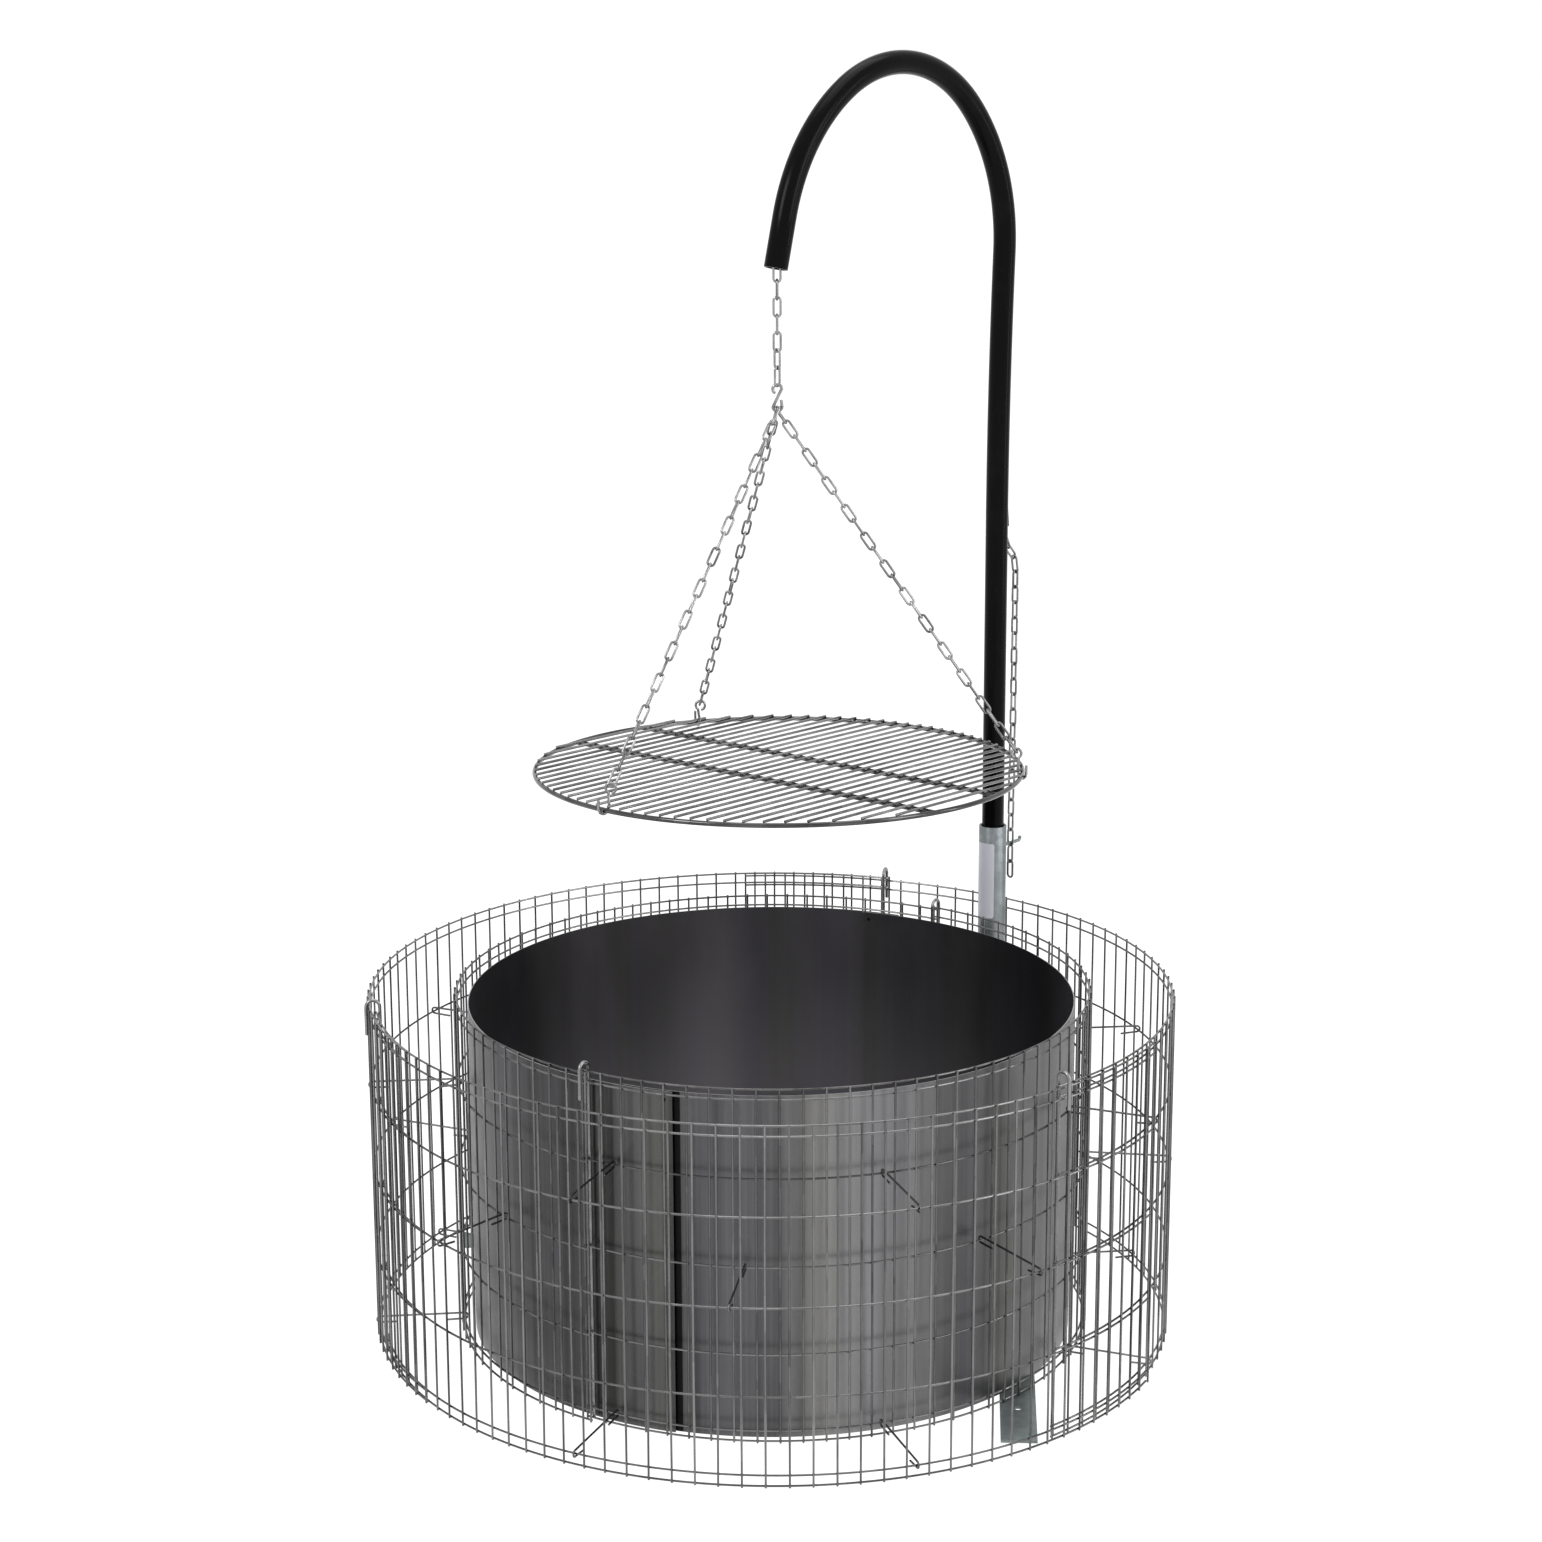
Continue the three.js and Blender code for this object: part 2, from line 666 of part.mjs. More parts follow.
// The angle of the gap between two rods that is nearest to an angle on the ring
function rodGapNear(angle) {
  const offset = grateRadius * Math.sin((angle - grateRodTurn) * degree);
  const side = Math.sign(offset);
  const inGap = (Math.floor(Math.abs(offset) / grateRodSpacing) + rodGapShare) * grateRodSpacing * side;
  const past = Math.asin(inGap / grateRadius) / degree;
  const behind = Math.cos((angle - grateRodTurn) * degree) < 0;
  return grateRodTurn + (behind ? turn / 2 - past : past);
}

// The grate hangs a little lower at the back, and its hooks and chains follow it
function addGrate() {
  const tray = new THREE.Group();
  tray.position.z = grateZ;
  tray.rotation.z = -armTurn * degree;
  hanger.add(tray);
  const slope = new THREE.Group();
  slope.rotation.x = -grateTilt * degree;
  tray.add(slope);
  const grate = place("grate", grateGeometry(), materials.steel, slope);
  grate.rotation.z = grateRodTurn * degree;
  for (let i = 0; i < grateChains; i++) {
    const angle = rodGapNear(grateChainTurn + (i * turn) / grateChains);
    const spoke = new THREE.Group();
    spoke.rotation.z = angle * degree;
    slope.add(spoke);
    const hook = place("grate_hook_" + (i + 1), grateHook(), materials.zinc, spoke);
    hook.position.x = grateRadius;
    const low = at(grateRadius - grateHookBend - grateHookLean, angle, grateHookHeight);
    low.applyAxisAngle(new THREE.Vector3(1, 0, 0), slope.rotation.x);
    const high = at(chainDiameter * fanShare, angle, hookLow + fanLift - grateZ);
    const along = new THREE.Vector3().subVectors(high, low).normalize();
    low.addScaledVector(along, grateHookWire / 4 + gap);
    place("grate_chain_" + (i + 1), wireAlong([low, high], chainDiameter), materials.zinc, tray);
  }
}

addRings();
addCanes();
addSpacers();
addLiner();
addFoot();
addPost();
addArm();
addHanger();
addGrate();

export default part;
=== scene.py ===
"""Looks of the gabion fire pit with its swivelling grill: wires, sheets, chains, finishes, light and camera.
Metres, +Z up. The origin is on the ground, on the axis of the mesh rings."""

import math
import random

import bpy
import numpy as np
from mathutils import Matrix, Vector


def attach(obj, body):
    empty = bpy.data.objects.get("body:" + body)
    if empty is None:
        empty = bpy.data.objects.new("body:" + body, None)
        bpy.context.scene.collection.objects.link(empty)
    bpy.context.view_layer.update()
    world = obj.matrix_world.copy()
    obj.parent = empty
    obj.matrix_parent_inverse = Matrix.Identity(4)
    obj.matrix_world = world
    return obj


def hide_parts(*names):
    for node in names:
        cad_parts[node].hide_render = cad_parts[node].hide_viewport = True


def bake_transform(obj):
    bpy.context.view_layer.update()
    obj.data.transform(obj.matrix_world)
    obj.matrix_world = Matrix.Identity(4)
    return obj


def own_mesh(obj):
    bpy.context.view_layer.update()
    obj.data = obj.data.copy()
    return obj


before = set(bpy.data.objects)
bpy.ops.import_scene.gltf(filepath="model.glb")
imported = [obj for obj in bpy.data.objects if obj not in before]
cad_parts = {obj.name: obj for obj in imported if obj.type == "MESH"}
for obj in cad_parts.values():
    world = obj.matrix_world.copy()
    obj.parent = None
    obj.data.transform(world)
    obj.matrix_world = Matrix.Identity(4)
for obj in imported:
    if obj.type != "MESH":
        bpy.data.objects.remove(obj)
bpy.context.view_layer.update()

MM = 0.001
TURN = 2 * math.pi
UP = np.array((0, 0, 1))
FRONT = np.array((0, -1, 0))
shake = random.Random(7)

# View of the photograph: a square frame, its focal length in pixels, and where the camera looks
PHOTO_WIDTH = 1542
FOCAL_PIXELS = 3374.34
SENSOR_MM = 36
VIEW_ELEVATION = 14.308
VIEW_DISTANCE = 3.82052
VIEW_TARGET = (-0.00132, 0, 0.65804)
VIEW_ROLL = -0.2

# Mesh rings
WIRE = 2.4 * MM
WELD = 1.15 * MM
MESH_PITCH = 25 * MM
PANEL_WIRES = 47
MESH_HEIGHT = 400 * MM
EDGE_CELL = 12 * MM
QUARTER = MESH_HEIGHT / 4
ROW_HEIGHTS = (0, EDGE_CELL, QUARTER, 2 * QUARTER, 3 * QUARTER, MESH_HEIGHT - EDGE_CELL, MESH_HEIGHT)
LAYER_GAP = 6.8 * MM
FOOT_TOP = 3.3 * MM
OUTER = {"radius": 460 * MM, "start": 71, "panels": 3, "base": 1.5 * MM, "lifts": (5.3 * MM, 0, 0)}
INNER = {"radius": 363 * MM, "start": -124.5, "panels": 2, "base": FOOT_TOP + 1.8 * MM, "lifts": (0, 0)}

# Closing rods and spacer wires
ROD = 4 * MM
ROD_SHORT_LEG = 32 * MM
ROD_RISE = 3 * MM
ROD_TURN = 0.75
SPACER_BEND = 3.6 * MM
SPACER_TIP = 20 * MM
SPACER_DROOP = 1.5
PAIR_ANGLES = (-171.5, -118.4, -71, -23.5, 19, 64, 108, 152)
SINGLE_ANGLES = (-144, -94.6, -52, -4, 38, 98, 130, 170)

# Liner sheets
SHEET = 1 * MM
LINER_HEIGHT = 390 * MM
SHEET_SWEEP = 188.8
RIGHT_SHEET = {"radius": 345.6 * MM, "start": -117.6}
LEFT_SHEET = {"radius": 349.8 * MM, "start": 63.4}
SHEET_HOLE = 4 * MM
SHEET_HOLE_INSET = 9 * MM
HOLE_REACH = 6 * MM

# Foot bars, post and hook pin
BAR = (40 * MM, 3 * MM)
BAR_EDGE = 0.6 * MM
BAR_HOLE = 9 * MM
BAR_HOLE_INSET = 82 * MM
FRONT_BAR = {"length": 678 * MM, "start": -18 * MM, "shift": 29.2 * MM, "heading": -93.2}
LEFT_BAR = {"length": 670.9 * MM, "start": -5.2 * MM, "shift": 0, "heading": -172.4}
POST_PLACE = Vector((271.35, 304.02, 0)) * MM
POST_RADIUS = 16.85 * MM
POST_WALL = 2.65 * MM
POST_TOP = 511.3 * MM
RIM = 0.5 * MM
PIN = 4.4 * MM
PIN_Z = POST_TOP - 30 * MM
PIN_REACH = 36 * MM
PIN_TIP = 4.5 * MM
PIN_BEND = 3 * MM
BEAD_RADIUS = 3.6 * MM
BEAD_WIRE = 2.6 * MM
BEAD_OUT = 0.6 * MM
LABEL = {"low": 396 * MM, "high": 491 * MM, "from": -184, "to": -86}

# Gooseneck pipe, in its own plane
PIPE_RADIUS = 13.45 * MM
PIPE_WALL = 2.3 * MM
PIPE_BASE = FOOT_TOP + 0.3 * MM
PIPE_STRAIGHT = 1208.3 * MM
BOW = 7.4 * MM
BOW_LENGTH = 312 * MM
BENDS = ((229.4 * MM, 47.7), (176 * MM, 75.2), (220 * MM, 45.3))
MOUTH_STRAIGHT = 58 * MM
MOUTH_LEAN = 2 * MM
ARM_ASIDE = 1.25
SLOT = {"low": 846 * MM, "high": 920 * MM, "width": 12 * MM}
LIP = {"top": 926 * MM, "length": 44 * MM, "reach": 4.5 * MM, "width": 14 * MM}

# Chains and hooks
LINK_WIRE = 2.8 * MM
LINK_WIDTH = 10.6 * MM
LINK_PITCH = 19.1 * MM
CHAIN_END = 1095.68 * MM
LOWER_LINK_TURNS = (48, -42, 4, 92)
UPPER_LINK_TURNS = (-3, 86, 6, 90)
HOOKED_SLACK = 1.4 * MM
S_WIRE = 3.6 * MM
S_BEND = 5.1 * MM
S_HEIGHT = 33 * MM

# Grate
GRATE_RADIUS = 277 * MM
GRATE_Z = 656 * MM
GRATE_TILT = -1.6
GRATE_RING = 5.6 * MM
GRATE_RODS = 31
GRATE_ROD = 3.2 * MM
GRATE_PITCH = 17.2 * MM
GRATE_OVERHANG = -1 * MM
GRATE_HEADING = 48
ROD_SINK = 0.4 * MM
CROSS_DROP = 0.6 * MM
CROSS_WIRE = 2.8 * MM
CROSS_PLACES = (55 * MM, -55 * MM)
CROSS_SPLIT = 9.5 * MM
HOOK_WIRE = 3.2 * MM
HOOK_BEND = 8 * MM
HOOK_EYE = 5.6 * MM
COIL_STEP = 0.03
HOOK_HEIGHT = 28 * MM
HOOK_TIP = 8 * MM
HOOK_LEAN = 3 * MM
ROD_GAP_SHARE = 0.3
CHAIN_TURNS = (-8, 111.6, 227)
HOOK_TURNS = (-50, 0, 0)
FAN_SPREAD = 2.9 * MM
CHAIN_SAG = 1.5 * MM

# Floor, and the lamps: name, place, aim, size in metres and power in watts
FLOOR_REACH = 30
FLOOR_DROP = 0.4 * MM
LAMPS = (
    ("key_softbox", (-2.6, -2.4, 3.2), (0, 0, 0.4), (1.6, 1.6), 75),
    ("fill_softbox", (3.2, -1.8, 2.2), (0, 0, 0.4), (1.2, 2.0), 35),
    ("top_softbox", (0.3, 0.6, 4.0), (0, 0, 0.2), (2.4, 2.4), 45),
    ("strip_softbox", (3.2, -0.35, 1.2), (0.27, 0.3, 0.9), (0.25, 2.2), 12),
)


def at(radius, angle, z):
    """A point given by its radius, its angle in degrees and its height."""
    a = math.radians(angle)
    return np.array((radius * math.cos(a), radius * math.sin(a), z))


def unit(v):
    return v / np.linalg.norm(v)


def tube(path, radius, sides=8, closed=False, chamfer=0.25):
    """Points and faces of a round wire along a path, its cut ends lightly chamfered."""
    path = np.asarray(path, float)
    radii = np.full(len(path), radius, float)
    if not closed and chamfer:
        first = path[0] + unit(path[0] - path[1]) * radius * chamfer
        last = path[-1] + unit(path[-1] - path[-2]) * radius * chamfer
        path = np.vstack((first, path, last))
        radii = np.concatenate(((radius * (1 - chamfer),), radii, (radius * (1 - chamfer),)))
    count = len(path)
    if closed:
        tangents = np.roll(path, -1, 0) - np.roll(path, 1, 0)
    else:
        tangents = np.gradient(path, axis=0)
    tangents /= np.linalg.norm(tangents, axis=1)[:, None]
    side = np.cross(tangents[0], (0, 0, 1) if abs(tangents[0][2]) < 0.9 else (1, 0, 0))
    sides_out = []
    for t in tangents:
        side = unit(side - t * np.dot(side, t))
        sides_out.append(side)
    normals = np.array(sides_out)
    angles = np.arange(sides) * TURN / sides
    if closed:
        back = unit(normals[-1] - tangents[0] * np.dot(normals[-1], tangents[0]))
        twist = math.atan2(np.dot(np.cross(back, normals[0]), tangents[0]), np.dot(back, normals[0]))
        spread = twist * np.arange(count) / count
    else:
        spread = np.zeros(count)
    binormals = np.cross(tangents, normals)
    theta = angles[None, :] + spread[:, None]
    ring = np.cos(theta)[..., None] * normals[:, None] + np.sin(theta)[..., None] * binormals[:, None]
    points = (path[:, None] + ring * radii[:, None, None]).reshape(-1, 3)
    faces = []
    for i in range(count if closed else count - 1):
        a, b = i * sides, ((i + 1) % count) * sides
        for k in range(sides):
            n = (k + 1) % sides
            faces.append((a + k, a + n, b + n, b + k))
    if not closed:
        faces.append(tuple(range(sides))[::-1])
        faces.append(tuple((count - 1) * sides + k for k in range(sides)))
    return points, faces


class Piece:
    """Gathers the wires and surfaces of one piece. Each keeps its own tone, so that no two look alike."""

    def __init__(self):
        self.points, self.faces, self.tones, self.finish = [], [], [], []
        self.count = 0

    def add(self, shape, tone=None, finish=0):
        points, faces = shape
        tone = shake.random() if tone is None else tone
        self.points.append(np.asarray(points, float))
        self.faces.extend(tuple(self.count + k for k in face) for face in faces)
        self.tones.append(np.full(len(points), tone))
        self.finish.extend([finish] * len(faces))
        self.count += len(points)
        return self

    def make(self, name, materials, body, slot, *nodes, smooth_angle=40):
        mesh = bpy.data.meshes.new(name)
        mesh.from_pydata(np.vstack(self.points).tolist(), [], self.faces)
        tones = mesh.attributes.new("tone", "FLOAT", "POINT")
        tones.data.foreach_set("value", np.concatenate(self.tones))
        for material in materials if isinstance(materials, (list, tuple)) else [materials]:
            mesh.materials.append(material)
        mesh.polygons.foreach_set("material_index", self.finish)
        mesh.update()
        return dress(name, mesh, body, slot, *nodes, smooth_angle=smooth_angle)


def new_object(name, data):
    obj = bpy.data.objects.new(name, data)
    bpy.context.scene.collection.objects.link(obj)
    return obj


def dress(name, mesh, body, slot, *nodes, smooth_angle=40):
    """Puts a mesh into the scene as a piece that rides on a body and stands for its CAD nodes."""
    mesh.polygons.foreach_set("use_smooth", [True] * len(mesh.polygons))
    mesh.set_sharp_from_angle(angle=math.radians(smooth_angle))
    obj = new_object(name, mesh)
    if body:
        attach(obj, body)
    if nodes:
        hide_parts(*nodes)
    return obj


def carve(obj, cutters):
    """Cuts the cutters out of a piece, for good."""
    for cutter in cutters:
        modifier = obj.modifiers.new("cut", "BOOLEAN")
        modifier.operation = "DIFFERENCE"
        modifier.solver = "EXACT"
        modifier.object = cutter
        graph = bpy.context.evaluated_depsgraph_get()
        cut = bpy.data.meshes.new_from_object(obj.evaluated_get(graph))
        obj.modifiers.clear()
        obj.data = cut
        bpy.data.objects.remove(cutter)


def cutter_of(shape):
    mesh = bpy.data.meshes.new("cutter")
    mesh.from_pydata(np.asarray(shape[0]).tolist(), [], shape[1])
    return new_object("cutter", mesh)


# Finishes


def link_nodes(tree, source, target):
    tree.links.new(source, target)


def feed(tree, socket, value):
    """Joins a socket to another node, or sets it to a plain value."""
    if isinstance(value, bpy.types.NodeSocket):
        tree.links.new(value, socket)
    else:
        socket.default_value = value


def add_node(tree, kind, settings=None, **inputs):
    """A shader node with its settings. An input goes by its name, or by i and its number."""
    node = tree.nodes.new(kind)
    for key, value in (settings or {}).items():
        setattr(node, key, value)
    for key, value in inputs.items():
        numbered = key[0] == "i" and key[1:].isdigit()
        feed(tree, node.inputs[int(key[1:]) if numbered else key.replace("_", " ")], value)
    return node


def grey(value):
    return (value, value, value, 1)


def start_group(name, inputs, outputs):
    """A node group with its named sockets: inputs are (name, type, default), outputs (name, type)."""
    group = bpy.data.node_groups.new(name, "ShaderNodeTree")
    for label, kind, default in inputs:
        socket = group.interface.new_socket(name=label, in_out="INPUT", socket_type="NodeSocket" + kind)
        if default is not None:
            socket.default_value = default
    for label, kind in outputs:
        group.interface.new_socket(name=label, in_out="OUTPUT", socket_type="NodeSocket" + kind)
    return group, group.nodes.new("NodeGroupInput").outputs, group.nodes.new("NodeGroupOutput").inputs


def math_node(tree, operation, *values, clamp=False):
    node = add_node(tree, "ShaderNodeMath", {"operation": operation, "use_clamp": clamp})
    for socket, value in zip(node.inputs, values):
        feed(tree, socket, value)
    return node.outputs[0]


def mix_colours(tree, share, low, high):
    return add_node(tree, "ShaderNodeMix", {"data_type": "RGBA"}, i0=share, i6=low, i7=high).outputs[2]


def times(tree, first, second, clamp=False):
    return math_node(tree, "MULTIPLY", first, second, clamp=clamp)


def plus(tree, first, second, clamp=False):
    return math_node(tree, "ADD", first, second, clamp=clamp)


def from_middle(tree, mask):
    """A mask that swings round zero instead of round a half."""
    return math_node(tree, "SUBTRACT", mask, 0.5)


def noise(tree, vector, scale, detail, roughness=0.5):
    settings = {"Vector": vector, "Scale": scale, "Detail": detail, "Roughness": roughness}
    return add_node(tree, "ShaderNodeTexNoise", **settings).outputs[0]


def stretched(tree, vector, across, along):
    return add_node(tree, "ShaderNodeMapping", Vector=vector, Scale=(across, across, along)).outputs[0]


def zinc_skin():
    """Zinc on steel: crystals, dull patches and runs down the piece, lighter or darker from wire to wire."""
    group, inside, out = start_group(
        "zinc_skin",
        [
            ("Vector", "Vector", None),
            ("Tone", "Float", 0.5),
            ("Dark", "Color", grey(0.1)),
            ("Light", "Color", grey(0.3)),
            ("Grain", "Float", 60.0),
            ("Runs", "Float", 0.3),
            ("Rough", "Float", 0.35),
            ("Spread", "Float", 0.2),
        ],
        [("Color", "Color"), ("Roughness", "Float"), ("Height", "Float")],
    )
    vector = inside["Vector"]
    grain = noise(group, vector, inside["Grain"], 5.0)
    crystal_scale = times(group, inside["Grain"], 3.0)
    crystals = add_node(group, "ShaderNodeTexVoronoi", Vector=vector, Scale=crystal_scale)
    crystal = add_node(group, "ShaderNodeSeparateColor", Color=crystals.outputs["Color"]).outputs[0]
    runs = noise(group, stretched(group, vector, 90, 4), 1.0, 3.0)
    patches = plus(group, times(group, grain, 0.6), times(group, crystal, 0.25))
    run_part = times(group, from_middle(group, runs), inside["Runs"])
    tone_part = times(group, from_middle(group, inside["Tone"]), 0.45)
    share = plus(group, plus(group, patches, run_part), tone_part, clamp=True)
    colour = mix_colours(group, share, inside["Dark"], inside["Light"])
    dullness = times(group, from_middle(group, grain), inside["Spread"])
    rough = plus(group, inside["Rough"], dullness, clamp=True)
    link_nodes(group, colour, out["Color"])
    link_nodes(group, rough, out["Roughness"])
    link_nodes(group, share, out["Height"])
    return group


COOL_TINT = (0.99, 0.97, 1.03, 1)
WARM_TINT = (1.01, 1.005, 0.965, 1)


def rolled_streaks():
    """Sheet steel from the roll: fine lines up the sheet, stains, and faint cool and warm tints, over a
    given painted lightness for reflections and shade.
    """
    group, inside, out = start_group(
        "rolled_streaks",
        [
            ("Vector", "Vector", None),
            ("Band", "Float", 0.5),
            ("Dark", "Color", grey(0.05)),
            ("Light", "Color", grey(0.2)),
            ("Line Share", "Float", 0.3),
            ("Rough", "Float", 0.35),
        ],
        [("Color", "Color"), ("Roughness", "Float"), ("Height", "Float")],
    )
    vector = inside["Vector"]
    lines = noise(group, stretched(group, vector, 230, 2), 1.0, 4.0)
    ribs = noise(group, stretched(group, vector, 60, 0.8), 1.0, 2.0)
    stains = noise(group, stretched(group, vector, 14, 5), 1.0, 6.0)
    line_share = inside["Line Share"]
    fine = times(group, from_middle(group, lines), line_share)
    broad = times(group, from_middle(group, ribs), times(group, line_share, 1.4))
    spots = times(group, from_middle(group, stains), 0.22)
    texture = plus(group, plus(group, fine, broad), spots)
    # Painted reflections and painted shade: the given lightness moves the colour between Dark and Light.
    share = plus(group, inside["Band"], texture, clamp=True)
    plain = mix_colours(group, share, inside["Dark"], inside["Light"])
    hue = noise(group, stretched(group, vector, 22, 0.5), 1.0, 1.0)
    hue_share = plus(group, times(group, from_middle(group, hue), 3.0), 0.5, clamp=True)
    tint = mix_colours(group, hue_share, COOL_TINT, WARM_TINT)
    settings = {"data_type": "RGBA", "blend_type": "MULTIPLY"}
    tinted = add_node(group, "ShaderNodeMix", settings, i0=1.0, i6=plain, i7=tint)
    spread = times(group, from_middle(group, stains), 0.25)
    rough = plus(group, inside["Rough"], spread, clamp=True)
    link_nodes(group, tinted.outputs[2], out["Color"])
    link_nodes(group, rough, out["Roughness"])
    link_nodes(group, lines, out["Height"])
    return group


def handling_marks():
    """Where hands, chains and transport have dulled a finish: a mask of scuffs and thin scratches."""
    group, inside, out = start_group(
        "handling_marks",
        [("Vector", "Vector", None), ("Scale", "Float", 40.0), ("Amount", "Float", 0.5)],
        [("Mask", "Float")],
    )
    vector = inside["Vector"]
    scuffs = noise(group, vector, inside["Scale"], 8.0, 0.65)
    edges = {"feature": "DISTANCE_TO_EDGE"}
    along = stretched(group, vector, 55, 6)
    scratches = add_node(group, "ShaderNodeTexVoronoi", edges, Vector=along, Scale=1.0)
    thin = math_node(group, "SUBTRACT", 1.0, times(group, scratches.outputs[0], 60.0), clamp=True)
    rubbed = math_node(group, "SUBTRACT", scuffs, 0.55)
    patches = times(group, rubbed, 5.0, clamp=True)
    both = math_node(group, "MAXIMUM", patches, times(group, thin, scuffs))
    mask = times(group, both, inside["Amount"], clamp=True)
    link_nodes(group, mask, out["Mask"])
    return group


def start_material(name, metallic, **fixed):
    """A material with its Principled shader, whose plain values sit on the shader itself."""
    material = bpy.data.materials.new(name)
    material.use_nodes = True
    tree = material.node_tree
    shader = tree.nodes["Principled BSDF"]
    shader.inputs["Metallic"].default_value = metallic
    for key, value in fixed.items():
        shader.inputs[key.replace("_", " ")].default_value = value
    return material, tree, shader


def use_group(tree, group, **inputs):
    return add_node(tree, "ShaderNodeGroup", {"node_tree": group}, **inputs)


def marks_on(tree, vector, scale, amount):
    return use_group(tree, MARKS, Vector=vector, Scale=scale, Amount=amount).outputs["Mask"]


def surface(tree, shader, colour, rough, height, distance, strength):
    """Joins what varies over a surface to its shader: colour, roughness and fine relief."""
    bump = add_node(tree, "ShaderNodeBump", Height=height, Distance=distance, Strength=strength)
    link_nodes(tree, colour, shader.inputs["Base Color"])
    link_nodes(tree, rough, shader.inputs["Roughness"])
    link_nodes(tree, bump.outputs[0], shader.inputs["Normal"])


def on_surface(tree):
    return tree.nodes.new("ShaderNodeTexCoord").outputs["Object"]


ZINC = zinc_skin()
STREAKS = rolled_streaks()
MARKS = handling_marks()


def zinc_finish(name, dark, light, grain, rough, runs=0.3, metallic=1.0):
    """Zinc from a dark to a light tone; each wire's own tone comes from the mesh."""
    material, tree, shader = start_material(name, metallic)
    tone = add_node(tree, "ShaderNodeAttribute", {"attribute_name": "tone"}).outputs["Fac"]
    look = {"Tone": tone, "Dark": dark, "Light": light, "Grain": grain, "Rough": rough, "Runs": runs}
    skin = use_group(tree, ZINC, Vector=on_surface(tree), **look).outputs
    surface(tree, shader, skin["Color"], skin["Roughness"], skin["Height"], 0.1 * MM, 0.35)
    return material


def painted_light_around(tree, vector, light_stops):
    """Painted reflections and painted shade round the liner: soft light and dark zones by angle. Each entry
    is an angle in degrees and the painted lightness of the sheet there.
    """
    place = add_node(tree, "ShaderNodeSeparateXYZ", Vector=vector)
    angle = math_node(tree, "ARCTAN2", place.outputs[1], place.outputs[0])
    turned = math_node(tree, "ADD", math_node(tree, "DIVIDE", angle, TURN), 0.5)
    ramp = tree.nodes.new("ShaderNodeValToRGB")
    ramp.color_ramp.interpolation = "EASE"
    stops = ramp.color_ramp.elements
    while len(stops) < len(light_stops):
        stops.new(0.5)
    for stop, (degrees, light) in zip(stops, light_stops):
        stop.position = degrees / 360 + 0.5
        stop.color = grey(light)
    link_nodes(tree, turned, ramp.inputs[0])
    return add_node(tree, "ShaderNodeSeparateColor", Color=ramp.outputs[0]).outputs[0], angle


def liner_finish(name, dark, light, light_stops, line_share, rough, shadow_strip=None):
    """Between two given angles beside a seam the colour is a painted shadow, near black, where one sheet
    stands off the other.
    """
    material, tree, shader = start_material(name, 0.85)
    vector = on_surface(tree)
    # The sheet's lightness by angle is painted reflection and painted shade.
    painted_light, angle = painted_light_around(tree, vector, light_stops)
    look = {"Band": painted_light, "Dark": dark, "Light": light, "Line Share": line_share, "Rough": rough}
    skin = use_group(tree, STREAKS, Vector=vector, **look).outputs
    colour = mix_colours(tree, marks_on(tree, vector, 9.0, 0.12), skin["Color"], light)
    if shadow_strip:
        past = math_node(tree, "GREATER_THAN", angle, math.radians(shadow_strip[0]))
        before = math_node(tree, "LESS_THAN", angle, math.radians(shadow_strip[1]))
        # Painted shadow: between the two angles the colour turns near black.
        colour = mix_colours(tree, times(tree, past, before), colour, grey(0.004))
    surface(tree, shader, colour, skin["Roughness"], skin["Height"], 0.05 * MM, 0.3)
    return material


def enamel_finish():
    """Black enamel: glossy, with faint dust and the dull rubs of the chain."""
    material, tree, shader = start_material("black_enamel", 0.0, Specular_IOR_Level=0.06)
    vector = on_surface(tree)
    marks = marks_on(tree, vector, 22.0, 0.6)
    colour = mix_colours(tree, marks, grey(0.003), grey(0.008))
    rough = plus(tree, 0.2, times(tree, marks, 0.25))
    orange_peel = noise(tree, vector, 260.0, 2.0)
    surface(tree, shader, colour, rough, orange_peel, 0.08 * MM, 0.25)
    return material


def label_finish():
    """The blank pale label: slightly silvery film with a faint creased surface."""
    material, tree, shader = start_material("label_film", 0.0)
    vector = on_surface(tree)
    marks = marks_on(tree, vector, 60.0, 0.5)
    colour = mix_colours(tree, marks, (0.74, 0.74, 0.82, 1), (0.60, 0.60, 0.67, 1))
    rough = plus(tree, 0.35, times(tree, marks, 0.2))
    creases = noise(tree, vector, 90.0, 3.0)
    surface(tree, shader, colour, rough, creases, 0.1 * MM, 0.2)
    return material


# Painted reflections and painted shade on the outside of the liner: the light zones are softbox reflections,
# and the dark zone near -122 degrees is the shade beside the inner closing rod.
OUTSIDE_PAINTED_LIGHT = (
    (-179, 0.4), (-152, 0.34), (-134, 0.2), (-122, 0.05), (-114, 0.28), (-91, 0.33), (-77, 0.95), (-63, 0.7),
    (-53, 0.36), (-32, 0.62), (0, 0.35), (42, 0.6), (80, 0.25), (116, 0.65), (150, 0.3), (179, 0.4),
)
# Painted highlights and painted shade on the inside of the liner: light zones are softbox reflections, dark
# zones are shade.
INSIDE_PAINTED_LIGHT = (
    (-179, 0.25), (-150, 0.45), (-120, 0.2), (-80, 0.35), (-50, 0.25), (-10, 0.35), (33, 0.12), (70.9, 0.36),
    (71.3, 0.48), (79, 0.55), (91, 0.48), (103, 0.9), (116, 0.58), (131, 0.68), (152, 0.35), (179, 0.25),
)
